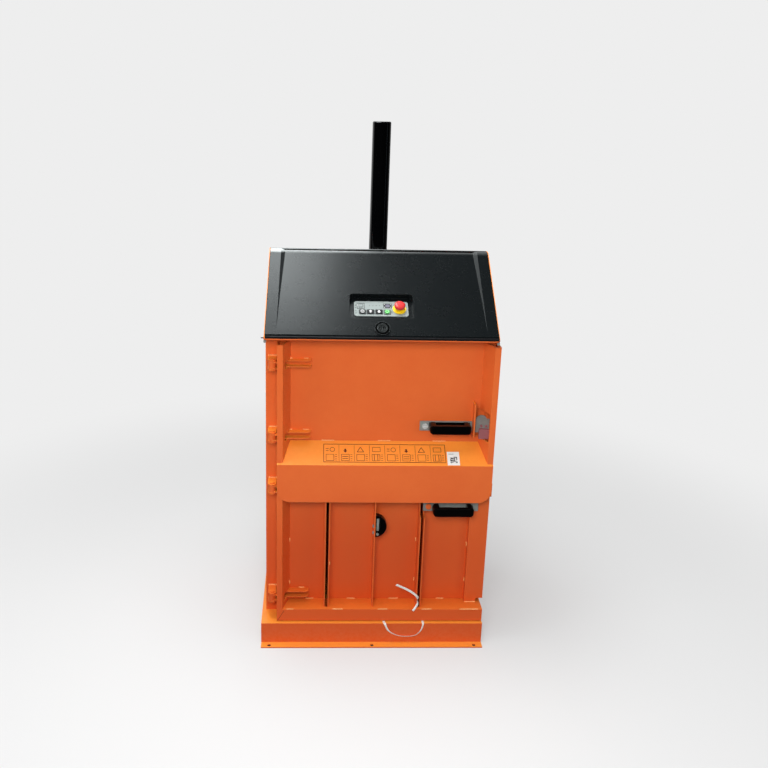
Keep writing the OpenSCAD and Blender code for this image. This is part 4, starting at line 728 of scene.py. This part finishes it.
def paleFloor():
    material, tree, shader = newMaterial("paleFloor")
    path = tree.nodes.new("ShaderNodeLightPath")
    coords = tree.nodes.new("ShaderNodeTexCoord")
    split = tree.nodes.new("ShaderNodeSeparateXYZ")
    reach = tree.nodes.new("ShaderNodeVectorMath")
    reach.operation = "LENGTH"
    tree.links.new(coords.outputs["Object"], split.inputs[0])
    tree.links.new(coords.outputs["Object"], reach.inputs[0])
    masks = []
    for axis, half in (("X", 0.389), ("Y", 0.338)):
        size = tree.nodes.new("ShaderNodeMath")
        size.operation = "ABSOLUTE"
        inside = tree.nodes.new("ShaderNodeMath")
        inside.operation = "LESS_THAN"
        inside.inputs[1].default_value = half
        tree.links.new(split.outputs[axis], size.inputs[0])
        tree.links.new(size.outputs[0], inside.inputs[0])
        masks.append(inside.outputs[0])
    # painted shade: the floor inside the machine's footprint is made nearly black
    under = timesNode(tree, *masks)
    colour = mixColour(tree, path.outputs["Is Camera Ray"], [studio["bounceTone"]] * 3, [studio["floorTone"]] * 3)
    colour = mixColour(tree, path.outputs["Is Glossy Ray"], colour, [studio["mirrorTone"]] * 3)
    farMirror = timesNode(tree, rampNode(tree, split.outputs["Y"], 1.5, 4.0, 0.0, studio["mirrorFar"]),
                          rampNode(tree, split.outputs["X"], -0.5, 1.5, 1.0, 0.1))
    farMirror = timesNode(tree, farMirror, path.outputs["Is Glossy Ray"])
    colour = mixColour(tree, under, colour, [studio["underTone"]] * 3)
    tree.links.new(colour, shader.inputs["Base Color"])
    shader.inputs["Roughness"].default_value = 0.9
    shader.inputs["Specular IOR Level"].default_value = 0.1
    glow = tree.nodes.new("ShaderNodeEmission")
    glow.inputs["Color"].default_value = (*[studio["behind"]] * 3, 1)
    mix = tree.nodes.new("ShaderNodeMixShader")
    far = rampNode(tree, reach.outputs["Value"], studio["blendFrom"], studio["blendTo"], studio["nearBlend"], 1.0)
    outside = tree.nodes.new("ShaderNodeMath")
    outside.operation = "SUBTRACT"
    outside.inputs[0].default_value = 1.0
    tree.links.new(under, outside.inputs[1])
    seen = tree.nodes.new("ShaderNodeMath")
    seen.operation = "ADD"
    seen.use_clamp = True
    tree.links.new(timesNode(tree, timesNode(tree, far, path.outputs["Is Camera Ray"]), outside.outputs[0]),
                   seen.inputs[0])
    tree.links.new(farMirror, seen.inputs[1])
    tree.links.new(seen.outputs[0], mix.inputs[0])
    tree.links.new(shader.outputs["BSDF"], mix.inputs[1])
    tree.links.new(glow.outputs[0], mix.inputs[2])
    output = [n for n in tree.nodes if n.bl_idname == "ShaderNodeOutputMaterial"][0]
    tree.links.new(mix.outputs[0], output.inputs["Surface"])
    return material


def makeWorld():
    world = bpy.data.worlds.new("studioWorld")
    bpy.context.scene.world = world
    world.use_nodes = True
    tree = world.node_tree
    for node in list(tree.nodes):
        tree.nodes.remove(node)
    coords = tree.nodes.new("ShaderNodeTexCoord")
    split = tree.nodes.new("ShaderNodeSeparateXYZ")
    tree.links.new(coords.outputs["Generated"], split.inputs[0])
    diffuse = tree.nodes.new("ShaderNodeBackground")
    glossy = tree.nodes.new("ShaderNodeBackground")
    seen = tree.nodes.new("ShaderNodeBackground")
    seen.inputs["Color"].default_value = (*[studio["behind"]] * 3, 1)
    tree.links.new(timesNode(tree, rampNode(tree, split.outputs["Z"], -0.3, 0.6, studio["diffuseLow"],
                                            studio["diffuseHigh"]),
                             rampNode(tree, split.outputs["X"], -0.4, 0.8, 1.0, studio["diffuseRight"])),
                   diffuse.inputs["Color"])
    gloss = timesNode(tree, rampNode(tree, split.outputs["Y"], 0.2, 0.6, studio["glossFront"],
                                     studio["glossBack"]),
                      rampNode(tree, split.outputs["X"], -0.1, 0.3, 1.0, studio["glossRight"]))
    tree.links.new(gloss, glossy.inputs["Color"])
    path = tree.nodes.new("ShaderNodeLightPath")
    lit = tree.nodes.new("ShaderNodeMixShader")
    mix = tree.nodes.new("ShaderNodeMixShader")
    output = tree.nodes.new("ShaderNodeOutputWorld")
    tree.links.new(path.outputs["Is Glossy Ray"], lit.inputs[0])
    tree.links.new(diffuse.outputs[0], lit.inputs[1])
    tree.links.new(glossy.outputs[0], lit.inputs[2])
    tree.links.new(path.outputs["Is Camera Ray"], mix.inputs[0])
    tree.links.new(lit.outputs[0], mix.inputs[1])
    tree.links.new(seen.outputs[0], mix.inputs[2])
    tree.links.new(mix.outputs[0], output.inputs["Surface"])


def makeStudio():
    makeWorld()
    bm = bmesh.new()
    bmesh.ops.create_grid(bm, x_segments=1, y_segments=1, size=9.0)
    floor = bpy.data.objects.new("studioFloor", meshFrom(bm, "studioFloor"))
    bpy.context.scene.collection.objects.link(floor)
    floor.data.materials.append(paleFloor())
    for name, place, aim, (wide, deep), power, tint, mirrored in studio["lamps"]:
        lamp = bpy.data.lights.new(name, "AREA")
        lamp.shape = "RECTANGLE"
        lamp.size = wide
        lamp.size_y = deep
        lamp.energy = power
        lamp.color = tint
        holder = bpy.data.objects.new(name, lamp)
        holder.location = place
        holder.visible_glossy = mirrored
        holder.visible_camera = False
        holder.rotation_euler = (Vector(aim) - Vector(place)).to_track_quat("-Z", "Y").to_euler()
        bpy.context.scene.collection.objects.link(holder)


makeStudio()
bpy.context.scene.view_settings.view_transform = "Standard"
print("studio lit")
